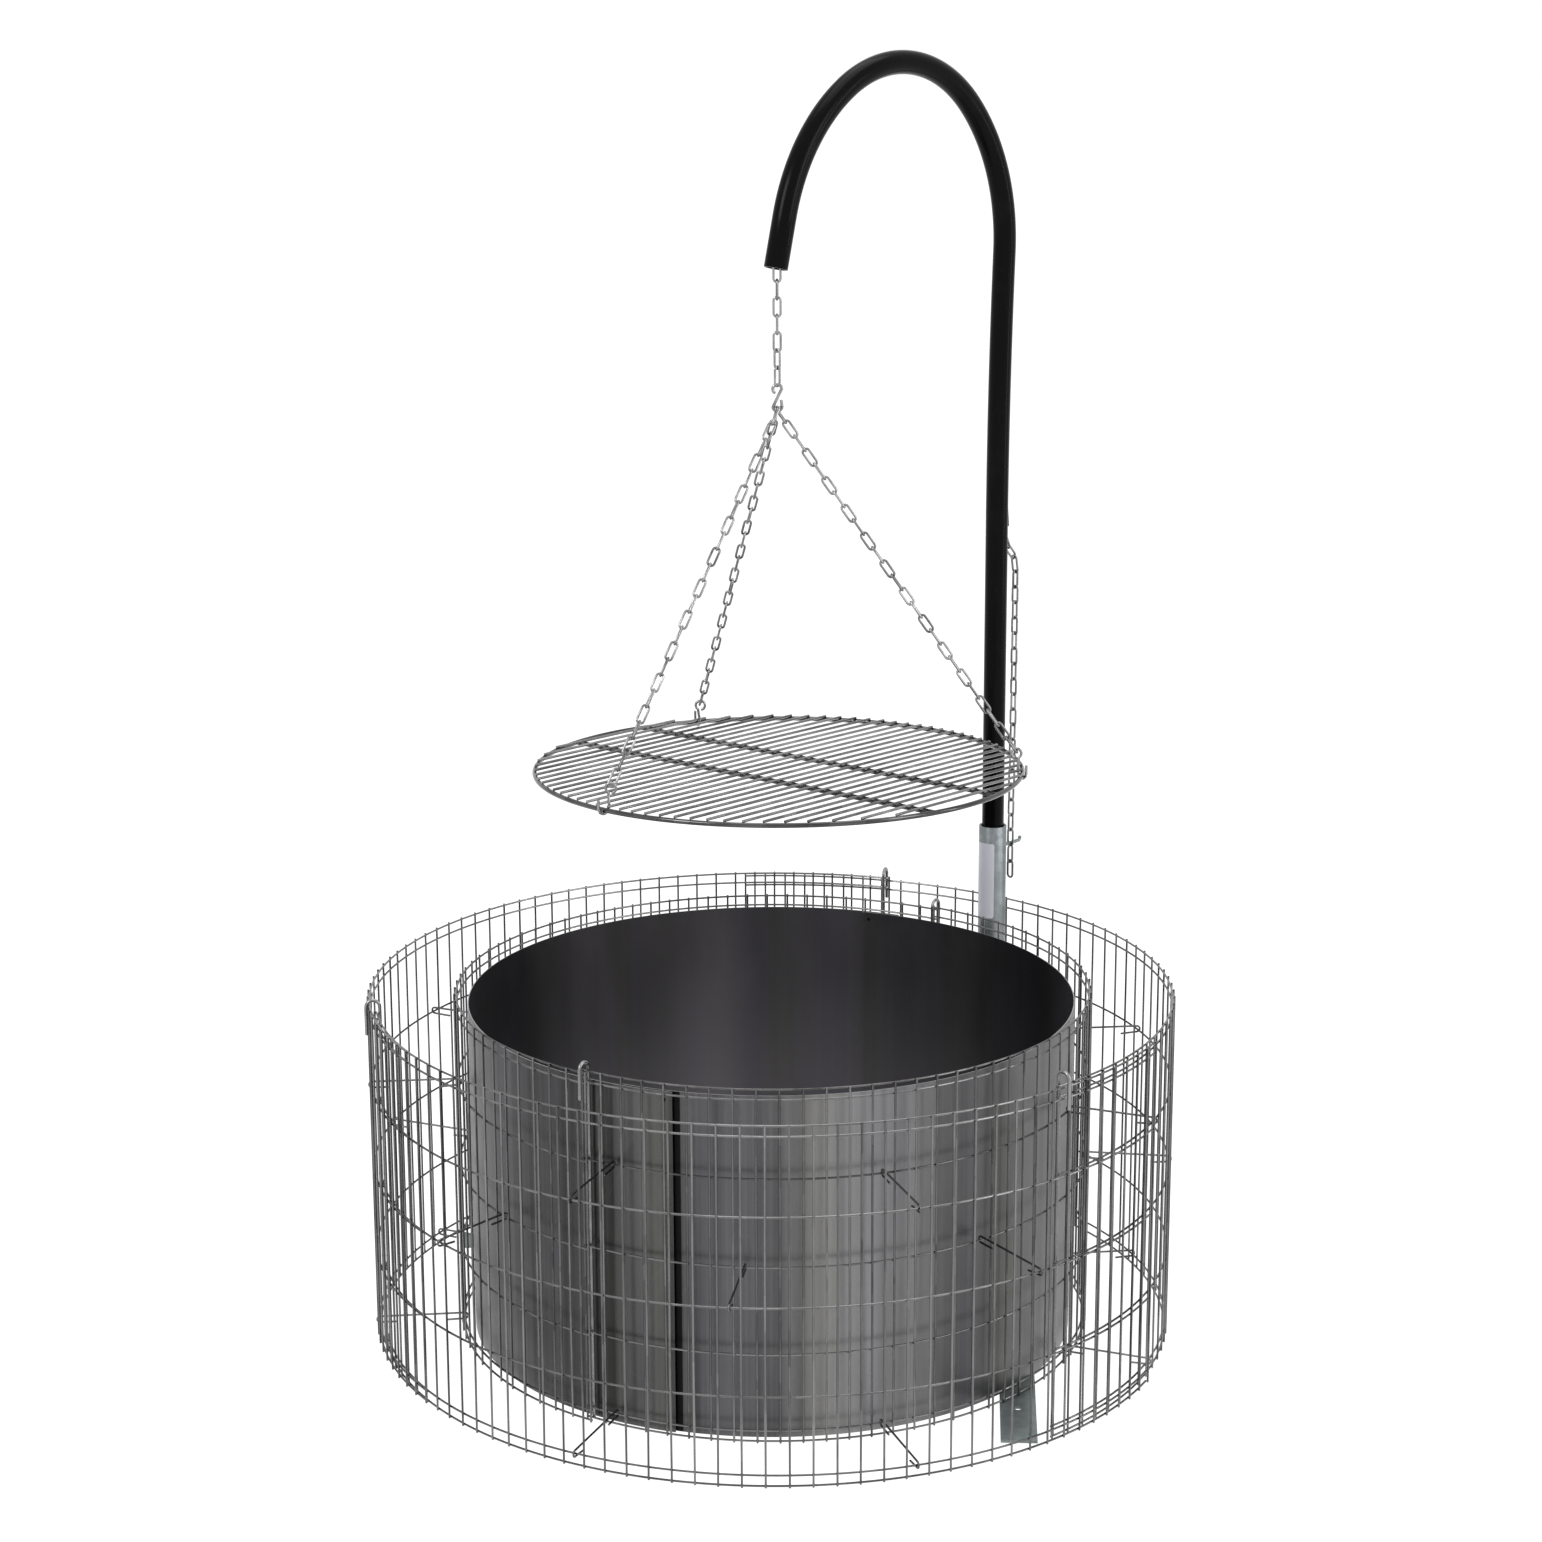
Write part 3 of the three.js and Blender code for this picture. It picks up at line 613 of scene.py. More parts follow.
# Painted shadow beside the front seam, where the left sheet's end stands off the right sheet.
SEAM_SHADOW_STRIP = (-108.6, -106.6)
BAR_TONES = ((0.15, 0.175, 0.175, 1), (0.32, 0.36, 0.36, 1))
POST_TONES = ((0.10, 0.115, 0.12, 1), (0.34, 0.37, 0.38, 1))
OUTSIDE_TONES = (grey(0.035), grey(0.24))
# The inside face takes darker tones than the outside: painted shade inside the ring.
INSIDE_SHADED_TONES = ((0.023, 0.022, 0.025, 1), (0.118, 0.113, 0.121, 1))

mesh_wire = zinc_finish("mesh_wire", grey(0.045), grey(0.26), 9.0, 0.26)
rod_steel = zinc_finish("closing_rod", grey(0.10), grey(0.40), 20.0, 0.26)
chain_zinc = zinc_finish("chain_zinc", grey(0.10), grey(0.46), 30.0, 0.22)
grate_steel = zinc_finish("grate_steel", grey(0.08), grey(0.44), 14.0, 0.18, runs=0.1)
grate_frame = zinc_finish("grate_frame", grey(0.02), grey(0.17), 14.0, 0.14, runs=0.1)
bar_zinc = zinc_finish("bar_zinc", *BAR_TONES, 45.0, 0.5, runs=0.2, metallic=0.7)
post_zinc = zinc_finish("post_zinc", *POST_TONES, 38.0, 0.42, runs=0.9, metallic=0.8)
# Outside faces of the liner, with painted reflections and painted shade by angle.
liner_outside = liner_finish("liner_outside", *OUTSIDE_TONES, OUTSIDE_PAINTED_LIGHT, 0.36, 0.36)
# The right sheet's outside also has a painted near-black shadow beside the front seam.
seam_shadow_outside = liner_finish("seam_shadow_outside", *OUTSIDE_TONES, OUTSIDE_PAINTED_LIGHT, 0.36, 0.36, shadow_strip=SEAM_SHADOW_STRIP)
# The inside face, in darker tones for painted shade, with painted highlights and shade by angle.
liner_inside = liner_finish("liner_inside", *INSIDE_SHADED_TONES, INSIDE_PAINTED_LIGHT, 0.09, 0.42)
liner_edge = zinc_finish("liner_edge", grey(0.2), grey(0.5), 60.0, 0.3)
black_enamel = enamel_finish()
label_film = label_finish()


# Mesh rings


def panel_sweep(radius):
    return math.degrees((PANEL_WIRES - 1) * MESH_PITCH / radius)


def panel_radius(ring, share):
    """A panel spirals out by one layer, so its end lies over the start of the next."""
    spread = LAYER_GAP * panel_sweep(ring["radius"]) / (360 / ring["panels"]) / 2
    return ring["radius"] + spread * (2 * share - 1)


def panel_start(ring, index):
    return ring["start"] + index * 360 / ring["panels"]


def mesh_panel(ring, index):
    """Level wires inside, upright wires outside, welded where they cross, all a little uneven."""
    piece = Piece()
    sweep = panel_sweep(ring["radius"])
    start = panel_start(ring, index)
    base = ring["base"] + ring["lifts"][index]
    steps = 3 * (PANEL_WIRES - 1)
    for height in ROW_HEIGHTS:
        wave, phase = shake.uniform(0.2, 0.5) * MM, shake.uniform(0, TURN)
        path = []
        for i in range(steps + 1):
            share = i / steps
            z = base + height + wave * math.sin(phase + 9 * share) * (0 < height < MESH_HEIGHT)
            path.append(at(panel_radius(ring, share) - WELD, start + sweep * share, z))
        piece.add(tube(path, WIRE / 2))
    for i in range(PANEL_WIRES):
        share = i / (PANEL_WIRES - 1)
        radius = panel_radius(ring, share) + WELD
        lean = [shake.uniform(-0.3, 0.3) * MM / radius for _ in range(4)]
        path = []
        for k, drift in enumerate(lean):
            z = base - WIRE / 2 + (MESH_HEIGHT + WIRE) * k / 3
            path.append(at(radius, start + sweep * share + math.degrees(drift), z))
        piece.add(tube(path, WIRE / 2))
    return piece


def add_rings():
    for ring, label in ((OUTER, "outer"), (INNER, "inner")):
        for i in range(ring["panels"]):
            name = f"{label}_mesh_panel_{i + 1}"
            mesh_panel(ring, i).make(name + "_wires", mesh_wire, "base", "mesh_wire", name)


def closing_rod(ring, index):
    """A cane: its long leg stands inside both layers and its hook goes over their top wires."""
    sweep = panel_sweep(ring["radius"])
    overlap = 360 / ring["panels"] / sweep
    aside = WELD + WIRE / 2 + ROD / 2
    inner_leg = panel_radius(ring, 0) - aside
    outer_leg = panel_radius(ring, overlap) + aside
    bend, middle = (outer_leg - inner_leg) / 2, (outer_leg + inner_leg) / 2
    crown = ring["base"] + max(ring["lifts"]) + MESH_HEIGHT + ROD_RISE
    angle = panel_start(ring, index) + ROD_TURN
    foot = (FOOT_TOP if ring is INNER else 0.3 * MM) + 0.35 * ROD / 2
    path = [at(inner_leg, angle, foot), at(inner_leg, angle, crown / 2)]
    for i in range(17):
        a = i * math.pi / 16
        path.append(at(middle - bend * math.cos(a), angle, crown + bend * math.sin(a)))
    path.append(at(outer_leg, angle, crown - ROD_SHORT_LEG))
    return tube(path, ROD / 2, 14, chamfer=0.35)


def add_closing_rods():
    for ring, label in ((OUTER, "outer"), (INNER, "inner")):
        for i in range(ring["panels"]):
            name = f"{label}_closing_rod_{i + 1}"
            Piece().add(closing_rod(ring, i)).make(name + "_wire", rod_steel, "base", "closing_rod", name)


def cell_near(angle, ring):
    """Angle, radius and panel of the middle of the mesh cell nearest to an angle."""
    pitch = panel_sweep(ring["radius"]) / (PANEL_WIRES - 1)
    for i in range(ring["panels"]):
        past = (angle - panel_start(ring, i)) % 360
        if past < 360 / ring["panels"]:
            cell = math.floor(past / pitch) + 0.5
            share = cell / (PANEL_WIRES - 1)
            return panel_start(ring, i) + cell * pitch, panel_radius(ring, share), i
    raise ValueError("no panel at this angle")


def spacer(angle, height):
    """A wire from ring to ring, bent round a level wire of each and back over itself."""
    outer_angle, outer_radius, panel = cell_near(angle, OUTER)
    inner_angle, inner_radius, _ = cell_near(angle, INNER)
    outer = at(outer_radius - WELD, outer_angle, OUTER["base"] + OUTER["lifts"][panel] + height)
    inner = at(inner_radius - WELD, inner_angle, INNER["base"] + height)
    away = unit((outer - inner) * (1, 1, 0))

    def bend(centre, side):
        points = []
        for i in range(13):
            a = i * math.pi / 12
            points.append(centre + UP * SPACER_BEND * math.cos(a) + away * side * SPACER_BEND * math.sin(a))
        return points

    outer_bend = bend(outer, 1)[::-1]
    inner_bend = bend(inner, -1)
    outer_tip = outer_bend[0] - away * SPACER_TIP - UP * (shake.uniform(0, SPACER_DROOP) * MM)
    inner_tip = inner_bend[-1] + away * SPACER_TIP - UP * (shake.uniform(0, SPACER_DROOP) * MM)
    return tube([outer_tip, *outer_bend, *inner_bend, inner_tip], WIRE / 2, 10)


def add_spacers():
    rows = (
        ("low", PAIR_ANGLES, ROW_HEIGHTS[1]),
        ("high", PAIR_ANGLES, ROW_HEIGHTS[4]),
        ("middle", SINGLE_ANGLES, ROW_HEIGHTS[3]),
    )
    for label, angles, height in rows:
        for i, angle in enumerate(angles):
            name = f"spacer_{label}_{i + 1}"
            Piece().add(spacer(angle, height)).make(name + "_wire", mesh_wire, "base", "mesh_wire", name)


# Liner


def liner_sheet(name, sheet, outside):
    """A rolled sheet with a soft unevenness, its two faces and its cut edges."""
    radius, start = sheet["radius"], sheet["start"]
    steps = 190
    levels = (0, 0.08, 0.5, 0.92, 1)
    wave = [(shake.uniform(0.1, 0.35) * MM, shake.uniform(3, 17), shake.uniform(0, TURN)) for _ in range(4)]
    points, faces, finish = [], [], []
    for side in (1, -1):
        for level in levels:
            for i in range(steps + 1):
                angle = start + SHEET_SWEEP * i / steps
                way = math.radians(angle)
                calm = 4 * level * (1 - level)
                dent = calm * sum(size * math.sin(rate * way + phase) for size, rate, phase in wave)
                points.append(at(radius + side * SHEET / 2 + dent, angle, FOOT_TOP + LINER_HEIGHT * level))
    across = steps + 1
    half = across * len(levels)
    for j in range(len(levels) - 1):
        for i in range(steps):
            a = j * across + i
            b = a + across
            faces.append((a, a + 1, b + 1, b))
            finish.append(0)
            faces.append((half + a, half + b, half + b + 1, half + a + 1))
            finish.append(1)
    top = (len(levels) - 1) * across
    for i in range(steps):
        faces.append((top + i, top + i + 1, half + top + i + 1, half + top + i))
        faces.append((i, half + i, half + i + 1, i + 1))
        finish += [2, 2]
    for j in range(len(levels) - 1):
        a, b = j * across, (j + 1) * across
        faces.append((a, b, half + b, half + a))
        a, b = a + steps, b + steps
        faces.append((a, half + a, half + b, b))
        finish += [2, 2]
    piece = Piece().add((points, faces), 0.5)
    piece.finish = finish
    finishes = [outside, liner_inside, liner_edge]
    obj = piece.make(name + "_rolled", finishes, "base", "liner_sheet", name, smooth_angle=50)
    inset = math.degrees(SHEET_HOLE_INSET / radius)
    cutters = []
    for angle in (start + inset, start + SHEET_SWEEP - inset):
        z = FOOT_TOP + LINER_HEIGHT - SHEET_HOLE_INSET
        path = [at(radius - HOLE_REACH, angle, z), at(radius + HOLE_REACH, angle, z)]
        cutters.append(cutter_of(tube(path, SHEET_HOLE / 2, 24, chamfer=0)))
    carve(obj, cutters)


def add_liner():
    liner_sheet("liner_right_sheet", RIGHT_SHEET, seam_shadow_outside)
    liner_sheet("liner_left_sheet", LEFT_SHEET, liner_outside)


# Foot


def flat_bar(name, bar):
    """A flat bar with rounded edges and a bolt hole, which lies on the ground from the post outwards."""
    width, thick = BAR
    edge = BAR_EDGE
    section = []
    for cx, cz in ((1, 1), (-1, 1), (-1, -1), (1, -1)):
        for k in range(4):
            a = math.atan2(cz, cx) - math.pi / 4 + k * math.pi / 6
            y = cx * (width / 2 - edge) + edge * math.cos(a)
            z = cz * (thick / 2 - edge) + edge * math.sin(a)
            section.append((y, z))
    stations = (0, edge, bar["length"] - edge, bar["length"])
    shrink = (edge, 0, 0, edge)
    points, faces = [], []
    for s, inset in zip(stations, shrink):
        for y, z in section:
            points.append((s, y * (1 - inset / width * 2), z * (1 - inset / thick) + thick / 2))
    ring = len(section)
    for j in range(len(stations) - 1):
        for k in range(ring):
            n = (k + 1) % ring
            faces.append((j * ring + k, (j + 1) * ring + k, (j + 1) * ring + n, j * ring + n))
    faces.append(tuple(range(ring)))
    faces.append(tuple(3 * ring + k for k in range(ring))[::-1])
    turn = Matrix.Rotation(math.radians(bar["heading"]), 3, "Z")
    placed = [POST_PLACE + turn @ Vector((x + bar["start"], y + bar["shift"], z)) for x, y, z in points]
    piece = Piece().add((placed, faces), 0.5)
    obj = piece.make(name + "_steel", bar_zinc, "base", "flat_bar", name, smooth_angle=35)
    hole = bar["start"] + bar["length"] - BAR_HOLE_INSET
    ends = [POST_PLACE + turn @ Vector((hole, bar["shift"], z)) for z in (-5 * MM, 8 * MM)]
    carve(obj, [cutter_of(tube([tuple(e) for e in ends], BAR_HOLE / 2, 32, chamfer=0))])


def add_foot():
    flat_bar("foot_bar_front", FRONT_BAR)
    flat_bar("foot_bar_left", LEFT_BAR)


# Post


def sheet_faces(columns, rows, flipped=False):
    """Faces of a thin sheet: its front, its back and the rim between them."""
    across = columns + 1
    half = across * (rows + 1)
    faces = []
    for j in range(rows):
        for i in range(columns):
            a = j * across + i
            b = a + across
            faces += [(a, a + 1, b + 1, b), (half + a, half + b, half + b + 1, half + a + 1)]
    rim = list(range(across))
    rim += [j * across + columns for j in range(1, rows + 1)]
    rim += [rows * across + i for i in range(columns - 1, -1, -1)]
    rim += [j * across for j in range(rows - 1, 0, -1)]
    faces += [(a, half + a, half + b, b) for a, b in zip(rim, rim[1:] + rim[:1])]
    return [face[:1] + face[:0:-1] for face in faces] if flipped else faces


def hollow_tube(path, outer, wall, sides):
    """A pipe along a path: outer wall, bore and rounded rims."""
    lip = RIM
    path = np.asarray(path, float)
    first, last = unit(path[1] - path[0]), unit(path[-1] - path[-2])
    outer_path = np.vstack((path[0], path[0] + first * lip, path[1:-1], path[-1] - last * lip, path[-1]))
    outside, faces = tube(outer_path, outer, sides, chamfer=0)
    inside, _ = tube(outer_path, outer - wall, sides, chamfer=0)
    count = len(outer_path)
    outside = outside.reshape(count, sides, 3)
    inside = inside.reshape(count, sides, 3)
    rounding = lip * 0.7
    for end in (0, -1):
        centre = outer_path[end]
        outside[end] = centre + (outside[end] - centre) * (1 - rounding / outer)
        inside[end] = centre + (inside[end] - centre) * (1 + rounding / (outer - wall))
    walls = faces[:-2]
    size = count * sides
    total = walls + [tuple(size + k for k in face[::-1]) for face in walls]
    last_ring = (count - 1) * sides
    for k in range(sides):
        n = (k + 1) % sides
        total.append((k, size + k, size + n, n))
        total.append((last_ring + k, last_ring + n, size + last_ring + n, size + last_ring + k))
    return np.vstack((outside.reshape(-1, 3), inside.reshape(-1, 3))), total


ARM_ANGLE = math.degrees(math.atan2(-POST_PLACE.y, -POST_PLACE.x)) - ARM_ASIDE
ARM_WAY = Vector((math.cos(math.radians(ARM_ANGLE)), math.sin(math.radians(ARM_ANGLE)), 0))
ARM_SIDE = Vector((-ARM_WAY.y, ARM_WAY.x, 0))


def in_arm(x, z, side=0.0):
    """A point in the plane of the gooseneck: x runs from the post towards the axis of the rings."""
    return np.array(POST_PLACE + ARM_WAY * x + ARM_SIDE * side + Vector((0, 0, z)))


def add_post():
    """The tube, the bent pin on its back with the weld bead round its root, and the label."""
    middle = [in_arm(0, z) for z in (FOOT_TOP, POST_TOP / 2, POST_TOP)]
    body = hollow_tube(middle, POST_RADIUS, POST_WALL, 64)
    Piece().add(body, 0.5).make("post_tube", post_zinc, "base", "post_tube", "post")
    far = POST_RADIUS + 0.3 * MM + PIN_REACH
    path = [in_arm(-POST_RADIUS + 0.5 * MM, PIN_Z), in_arm(-far + PIN_BEND, PIN_Z)]
    for i in range(1, 9):
        a = i * math.pi / 16
        path.append(in_arm(-far + PIN_BEND - PIN_BEND * math.sin(a), PIN_Z + PIN_BEND * (1 - math.cos(a))))
    path.append(in_arm(-far, PIN_Z + PIN_TIP))
    pin = Piece().add(tube(path, PIN / 2, 18, chamfer=0.3), 0.6)
    bead = []
    for a in np.arange(20) * TURN / 20:
        rise, aside = BEAD_RADIUS * math.cos(a), BEAD_RADIUS * math.sin(a)
        bead.append(in_arm(-POST_RADIUS - BEAD_OUT, PIN_Z + rise, aside))
    pin.add(tube(bead, BEAD_WIRE / 2, 8, closed=True), 0.3)
    pin.make("hook_pin_steel", post_zinc, "base", "post_tube", "hook_pin")
    add_label()


def add_label():
    """The blank label, wrapped round the side of the post that faces the fire."""
    columns, rows = 24, 10
    shell = []
    for lift in (0.18 * MM, 0.02 * MM):
        for j in range(rows + 1):
            v = j / rows
            for i in range(columns + 1):
                u = i / columns
                corner = 2.5 * MM * (1 - math.sqrt(max(0, 1 - max(0, 1 - min(u, 1 - u) * 12) ** 2)))
                z = LABEL["low"] + (LABEL["high"] - LABEL["low"]) * v
                z += corner * (1 - 2 * v)
                p = at(POST_RADIUS + lift, LABEL["from"] + (LABEL["to"] - LABEL["from"]) * u, z)
                shell.append(np.array(POST_PLACE) + p)
    shape = shell, sheet_faces(columns, rows)
    Piece().add(shape, 0.5).make("post_label", label_film, "base", "post_tube")


# Gooseneck pipe


def pipe_line():
    """The middle of the pipe: upright, then bowed back a little, then three bends down to the mouth."""
    top = PIPE_BASE + PIPE_STRAIGHT
    points = [(0, PIPE_BASE), (0, SLOT["low"] - 30 * MM)]
    bow_steps = 12
    for i in range(bow_steps + 1):
        share = i / bow_steps
        points.append((-BOW * share**2, top - BOW_LENGTH * (1 - share)))
    heading = -math.atan(2 * BOW / BOW_LENGTH)
    for radius, sweep in BENDS:
        x, z = points[-1]
        x += radius * math.cos(heading)
        z -= radius * math.sin(heading)
        steps = round(sweep / 2)
        for i in range(1, steps + 1):
            a = heading + math.radians(sweep) * i / steps
            points.append((x - radius * math.cos(a), z + radius * math.sin(a)))
        heading += math.radians(sweep)
    x, z = points[-1]
    points.append((x + MOUTH_STRAIGHT * math.sin(heading), z + MOUTH_STRAIGHT * math.cos(heading)))
    return points


PIPE_LINE = pipe_line()
MOUTH_X = PIPE_LINE[-1][0]


def slot_lip():
    """The tongue of wall that is bent out over the slot, for the chain to run on."""
    rows, columns = 14, 8
    points = []
    half_angle = LIP["width"] / 2 / PIPE_RADIUS
    for depth in (0, PIPE_WALL):
        for j in range(rows + 1):
            t = j / rows
            z = LIP["top"] - LIP["length"] * t
            out = LIP["reach"] * t**1.4
            narrow = 1 - 0.25 * t**3
            for i in range(columns + 1):
                a = half_angle * (2 * i / columns - 1) * narrow
                x = (PIPE_RADIUS - depth) * math.cos(a) + out
                points.append(in_arm(-x, z, (PIPE_RADIUS - depth) * math.sin(a)))
    return points, sheet_faces(columns, rows, flipped=True)


def add_gooseneck():
    """The pipe with the slot cut in its back, and the lip over the slot."""
    path = [in_arm(x, z) for x, z in PIPE_LINE]
    pipe = Piece().add(hollow_tube(path, PIPE_RADIUS, PIPE_WALL, 48), 0.5)
    obj = pipe.make("gooseneck_tube", black_enamel, "arm", "black_pipe", "gooseneck_pipe")
    outline = []
    radius = SLOT["width"] / 2
    for z, turn in ((SLOT["high"] - radius, 0), (SLOT["low"] + radius, math.pi)):
        for k in range(13):
            a = turn + k * math.pi / 12
            outline.append((radius * math.cos(a), z + radius * math.sin(a)))
    count = len(outline)
    depths = (PIPE_RADIUS - PIPE_WALL - 4 * MM, PIPE_RADIUS + 8 * MM)
    points = [in_arm(-x, z, y) for x in depths for y, z in outline]
    faces = [tuple(range(count))[::-1], tuple(count + k for k in range(count))]
    faces += [(k, (k + 1) % count, count + (k + 1) % count, count + k) for k in range(count)]
    carve(obj, [cutter_of((points, faces))])
    Piece().add(slot_lip(), 0.5).make("gooseneck_lip", black_enamel, "arm", "black_pipe")


# Chains


def link_shape():
    """One welded oval link, centred, long way up, in the x-z plane."""
    half_width = (LINK_WIDTH - LINK_WIRE) / 2
    straight = (LINK_PITCH + LINK_WIRE) / 2 - half_width
    path = []
    for side, start in ((1, 0), (-1, math.pi)):
        for i in range(9):
            a = start + i * math.pi / 8
            path.append((half_width * math.cos(a), 0, side * straight + half_width * math.sin(a)))
    return tube(path, LINK_WIRE / 2, 10, closed=True)


LINK = link_shape()


def put_link(piece, centre, along, face):
    """Places a link with its long way along a direction, its flat side looking along another."""
    z = unit(np.asarray(along, float))
    y = unit(np.asarray(face, float) - z * np.dot(face, z))
    x = np.cross(y, z)
    turn = np.column_stack((x, y, z))
    points, faces = LINK
    piece.add((points @ turn.T + np.asarray(centre), faces))


def hang_chain(piece, path, first, count, face):
    """Links along a path, the first one's middle that far along it, each next one turned by a quarter."""
    path = np.asarray(path, float)
    lengths = np.concatenate(((0,), np.cumsum(np.linalg.norm(np.diff(path, axis=0), axis=1))))
    face = np.asarray(face, float)
    for i in range(count):
        s = first + i * LINK_PITCH
        reach = (s - LINK_PITCH / 2, s + LINK_PITCH / 2)
        ends = [np.array([np.interp(v, lengths, path[:, k]) for k in range(3)]) for v in reach]
        along = unit(ends[0] - ends[1])
        level = unit(face - along * np.dot(face, along))
        angle = math.radians((90 if i % 2 else 0) + shake.uniform(-4, 4))
        turned = level * math.cos(angle) + np.cross(along, level) * math.sin(angle)
        put_link(piece, (ends[0] + ends[1]) / 2, along, turned)


HANG_X = MOUTH_X - MOUTH_LEAN


def add_front_chain():
    """The chain at the mouth of the pipe. At turn 0 a link shows its flat side in front."""
    low_bar = CHAIN_END - S_WIRE - LINK_WIRE / 2 + HOOKED_SLACK
    lower, upper = Piece(), Piece()
    z = low_bar + (LINK_PITCH + LINK_WIRE) / 2
    for piece, turns in ((lower, LOWER_LINK_TURNS), (upper, UPPER_LINK_TURNS)):
        for turn in turns:
            put_link(piece, in_arm(HANG_X, z), (0, 0, 1), at(1, turn - 90, 0))
            z += LINK_PITCH
    lower.make("front_chain_lower_links", chain_zinc, "chain_lower", "chain_zinc", "front_chain_lower")
    name = "front_chain_upper"
    top = upper.make(name + "_links", chain_zinc, "chain_upper", "chain_zinc", name)
    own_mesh(top)


def add_back_chain():
    """The chain from the slot to the pin, and the spare links below it."""
    rest = SLOT["low"]
    pin_x = -POST_RADIUS - PIN_REACH / 2
    leaves_slot = [(-3, 36), (-13, 26), (-19, 11), (-33, -2), (-37, -16), (-36.5, -200)]
    path = [in_arm(x * MM, rest + z * MM) for x, z in leaves_slot]
    path += [in_arm(pin_x, PIN_Z + 20 * MM), in_arm(pin_x, PIN_Z - 20 * MM)]
    hooked = PIN_Z - PIN / 2 - LINK_WIRE / 2 + (LINK_PITCH + LINK_WIRE) / 2
    whole = np.sum(np.linalg.norm(np.diff(np.array(path), axis=0), axis=1))
    at_pin = whole - (hooked - (PIN_Z - 20 * MM))
    count = int(at_pin // LINK_PITCH)
    chain = Piece()
    first = at_pin - (count - 1) * LINK_PITCH
    face = -ARM_WAY if (count - 1) % 2 == 0 else ARM_SIDE
    hang_chain(chain, path, first, count, face)
    obj = chain.make("back_chain_links", chain_zinc, None, "chain_zinc", "chain_behind_post")
    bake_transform(obj)
    tail = Piece()
    spare = [in_arm(pin_x, PIN_Z), in_arm(pin_x - 0.5 * MM, PIN_Z - 80 * MM)]
    hang_chain(tail, spare, (PIN + LINK_PITCH) / 2 + 2.5 * MM, 2, ARM_SIDE)
    tail.make("spare_links", chain_zinc, "base", "chain_zinc", "chain_tail")


def add_s_hook():
    """The S-hook: its upper bend holds the front chain, its lower bend the three chains of the grate."""
    upper = CHAIN_END - S_WIRE / 2 - S_BEND
    lower = CHAIN_END - S_HEIGHT + S_WIRE / 2 + S_BEND
    path = []
    for centre, start, stop in ((upper, 235, 10), (lower, 190, 375)):
        for i in range(21):
            a = math.radians(start + (stop - start) * i / 20)
            path.append(in_arm(HANG_X, centre + S_BEND * math.sin(a)) + at(S_BEND * math.cos(a), 0, 0))
    path.append(path[-1] + np.array((-0.6, 0, 5.5)) * MM)
    piece = Piece().add(tube(path, S_WIRE / 2, 16, chamfer=0.4), 0.7)
    piece.make("s_hook_wire", chain_zinc, "hook", "chain_zinc", "s_hook")


# Grate


HUB = in_arm(HANG_X, GRATE_Z)
SLOPE = np.array(Matrix.Rotation(math.radians(GRATE_TILT), 3, "X"))


def on_grate(*places):
    """Points given from the grate's middle, brought to the slope on which the grate hangs."""
    return [HUB + SLOPE @ np.asarray(place, float) for place in places]


def add_grate():
    """The ring, the rods across its top and the two pairs of cross bars under them."""
    piece = Piece()
    ring = on_grate(*[at(GRATE_RADIUS, 2 * i, 0) for i in range(180)])
    piece.add(tube(ring, GRATE_RING / 2, 12, closed=True), 0.4, finish=1)
    way, across = at(1, GRATE_HEADING, 0), at(1, GRATE_HEADING + 90, 0)
    level = UP * (GRATE_RING / 2 + GRATE_ROD / 2 - ROD_SINK)
    for i in range(GRATE_RODS):
        offset = (i - (GRATE_RODS - 1) / 2) * GRATE_PITCH
        half = math.sqrt(GRATE_RADIUS**2 - offset**2) + GRATE_OVERHANG
        near, far = -half + shake.uniform(-1.2, 0.4) * MM, half + shake.uniform(-1.2, 0.4) * MM
        sagged = offset + shake.uniform(-0.5, 0.5) * MM
        line = level + across * offset
        rod = on_grate(line + way * near, level + across * sagged, line + way * far)
        piece.add(tube(rod, GRATE_ROD / 2, 10, chamfer=0.35))
    under = UP * ((GRATE_RING - CROSS_WIRE) / 2 - CROSS_DROP)
    for spot in CROSS_PLACES:
        for side in (-0.5, 0.5):
            offset = spot + side * CROSS_SPLIT
            half = math.sqrt(GRATE_RADIUS**2 - offset**2)
            cross = on_grate(under + way * offset - across * half, under + way * offset + across * half)
            piece.add(tube(cross, CROSS_WIRE / 2, 10), 0.2, finish=1)
    piece.make("grate_wires", [grate_steel, grate_frame], "grill", "grate_steel", "grate")


def rod_gap_near(angle):
    """The angle of the gap between two rods that is nearest to an angle on the ring."""
    past = math.radians(angle - GRATE_HEADING)
    offset = GRATE_RADIUS * math.sin(past)
    gap = (math.floor(abs(offset) / GRATE_PITCH) + ROD_GAP_SHARE) * GRATE_PITCH * math.copysign(1, offset)
    turn = math.degrees(math.asin(gap / GRATE_RADIUS))
    return GRATE_HEADING + (180 - turn if math.cos(past) < 0 else turn)


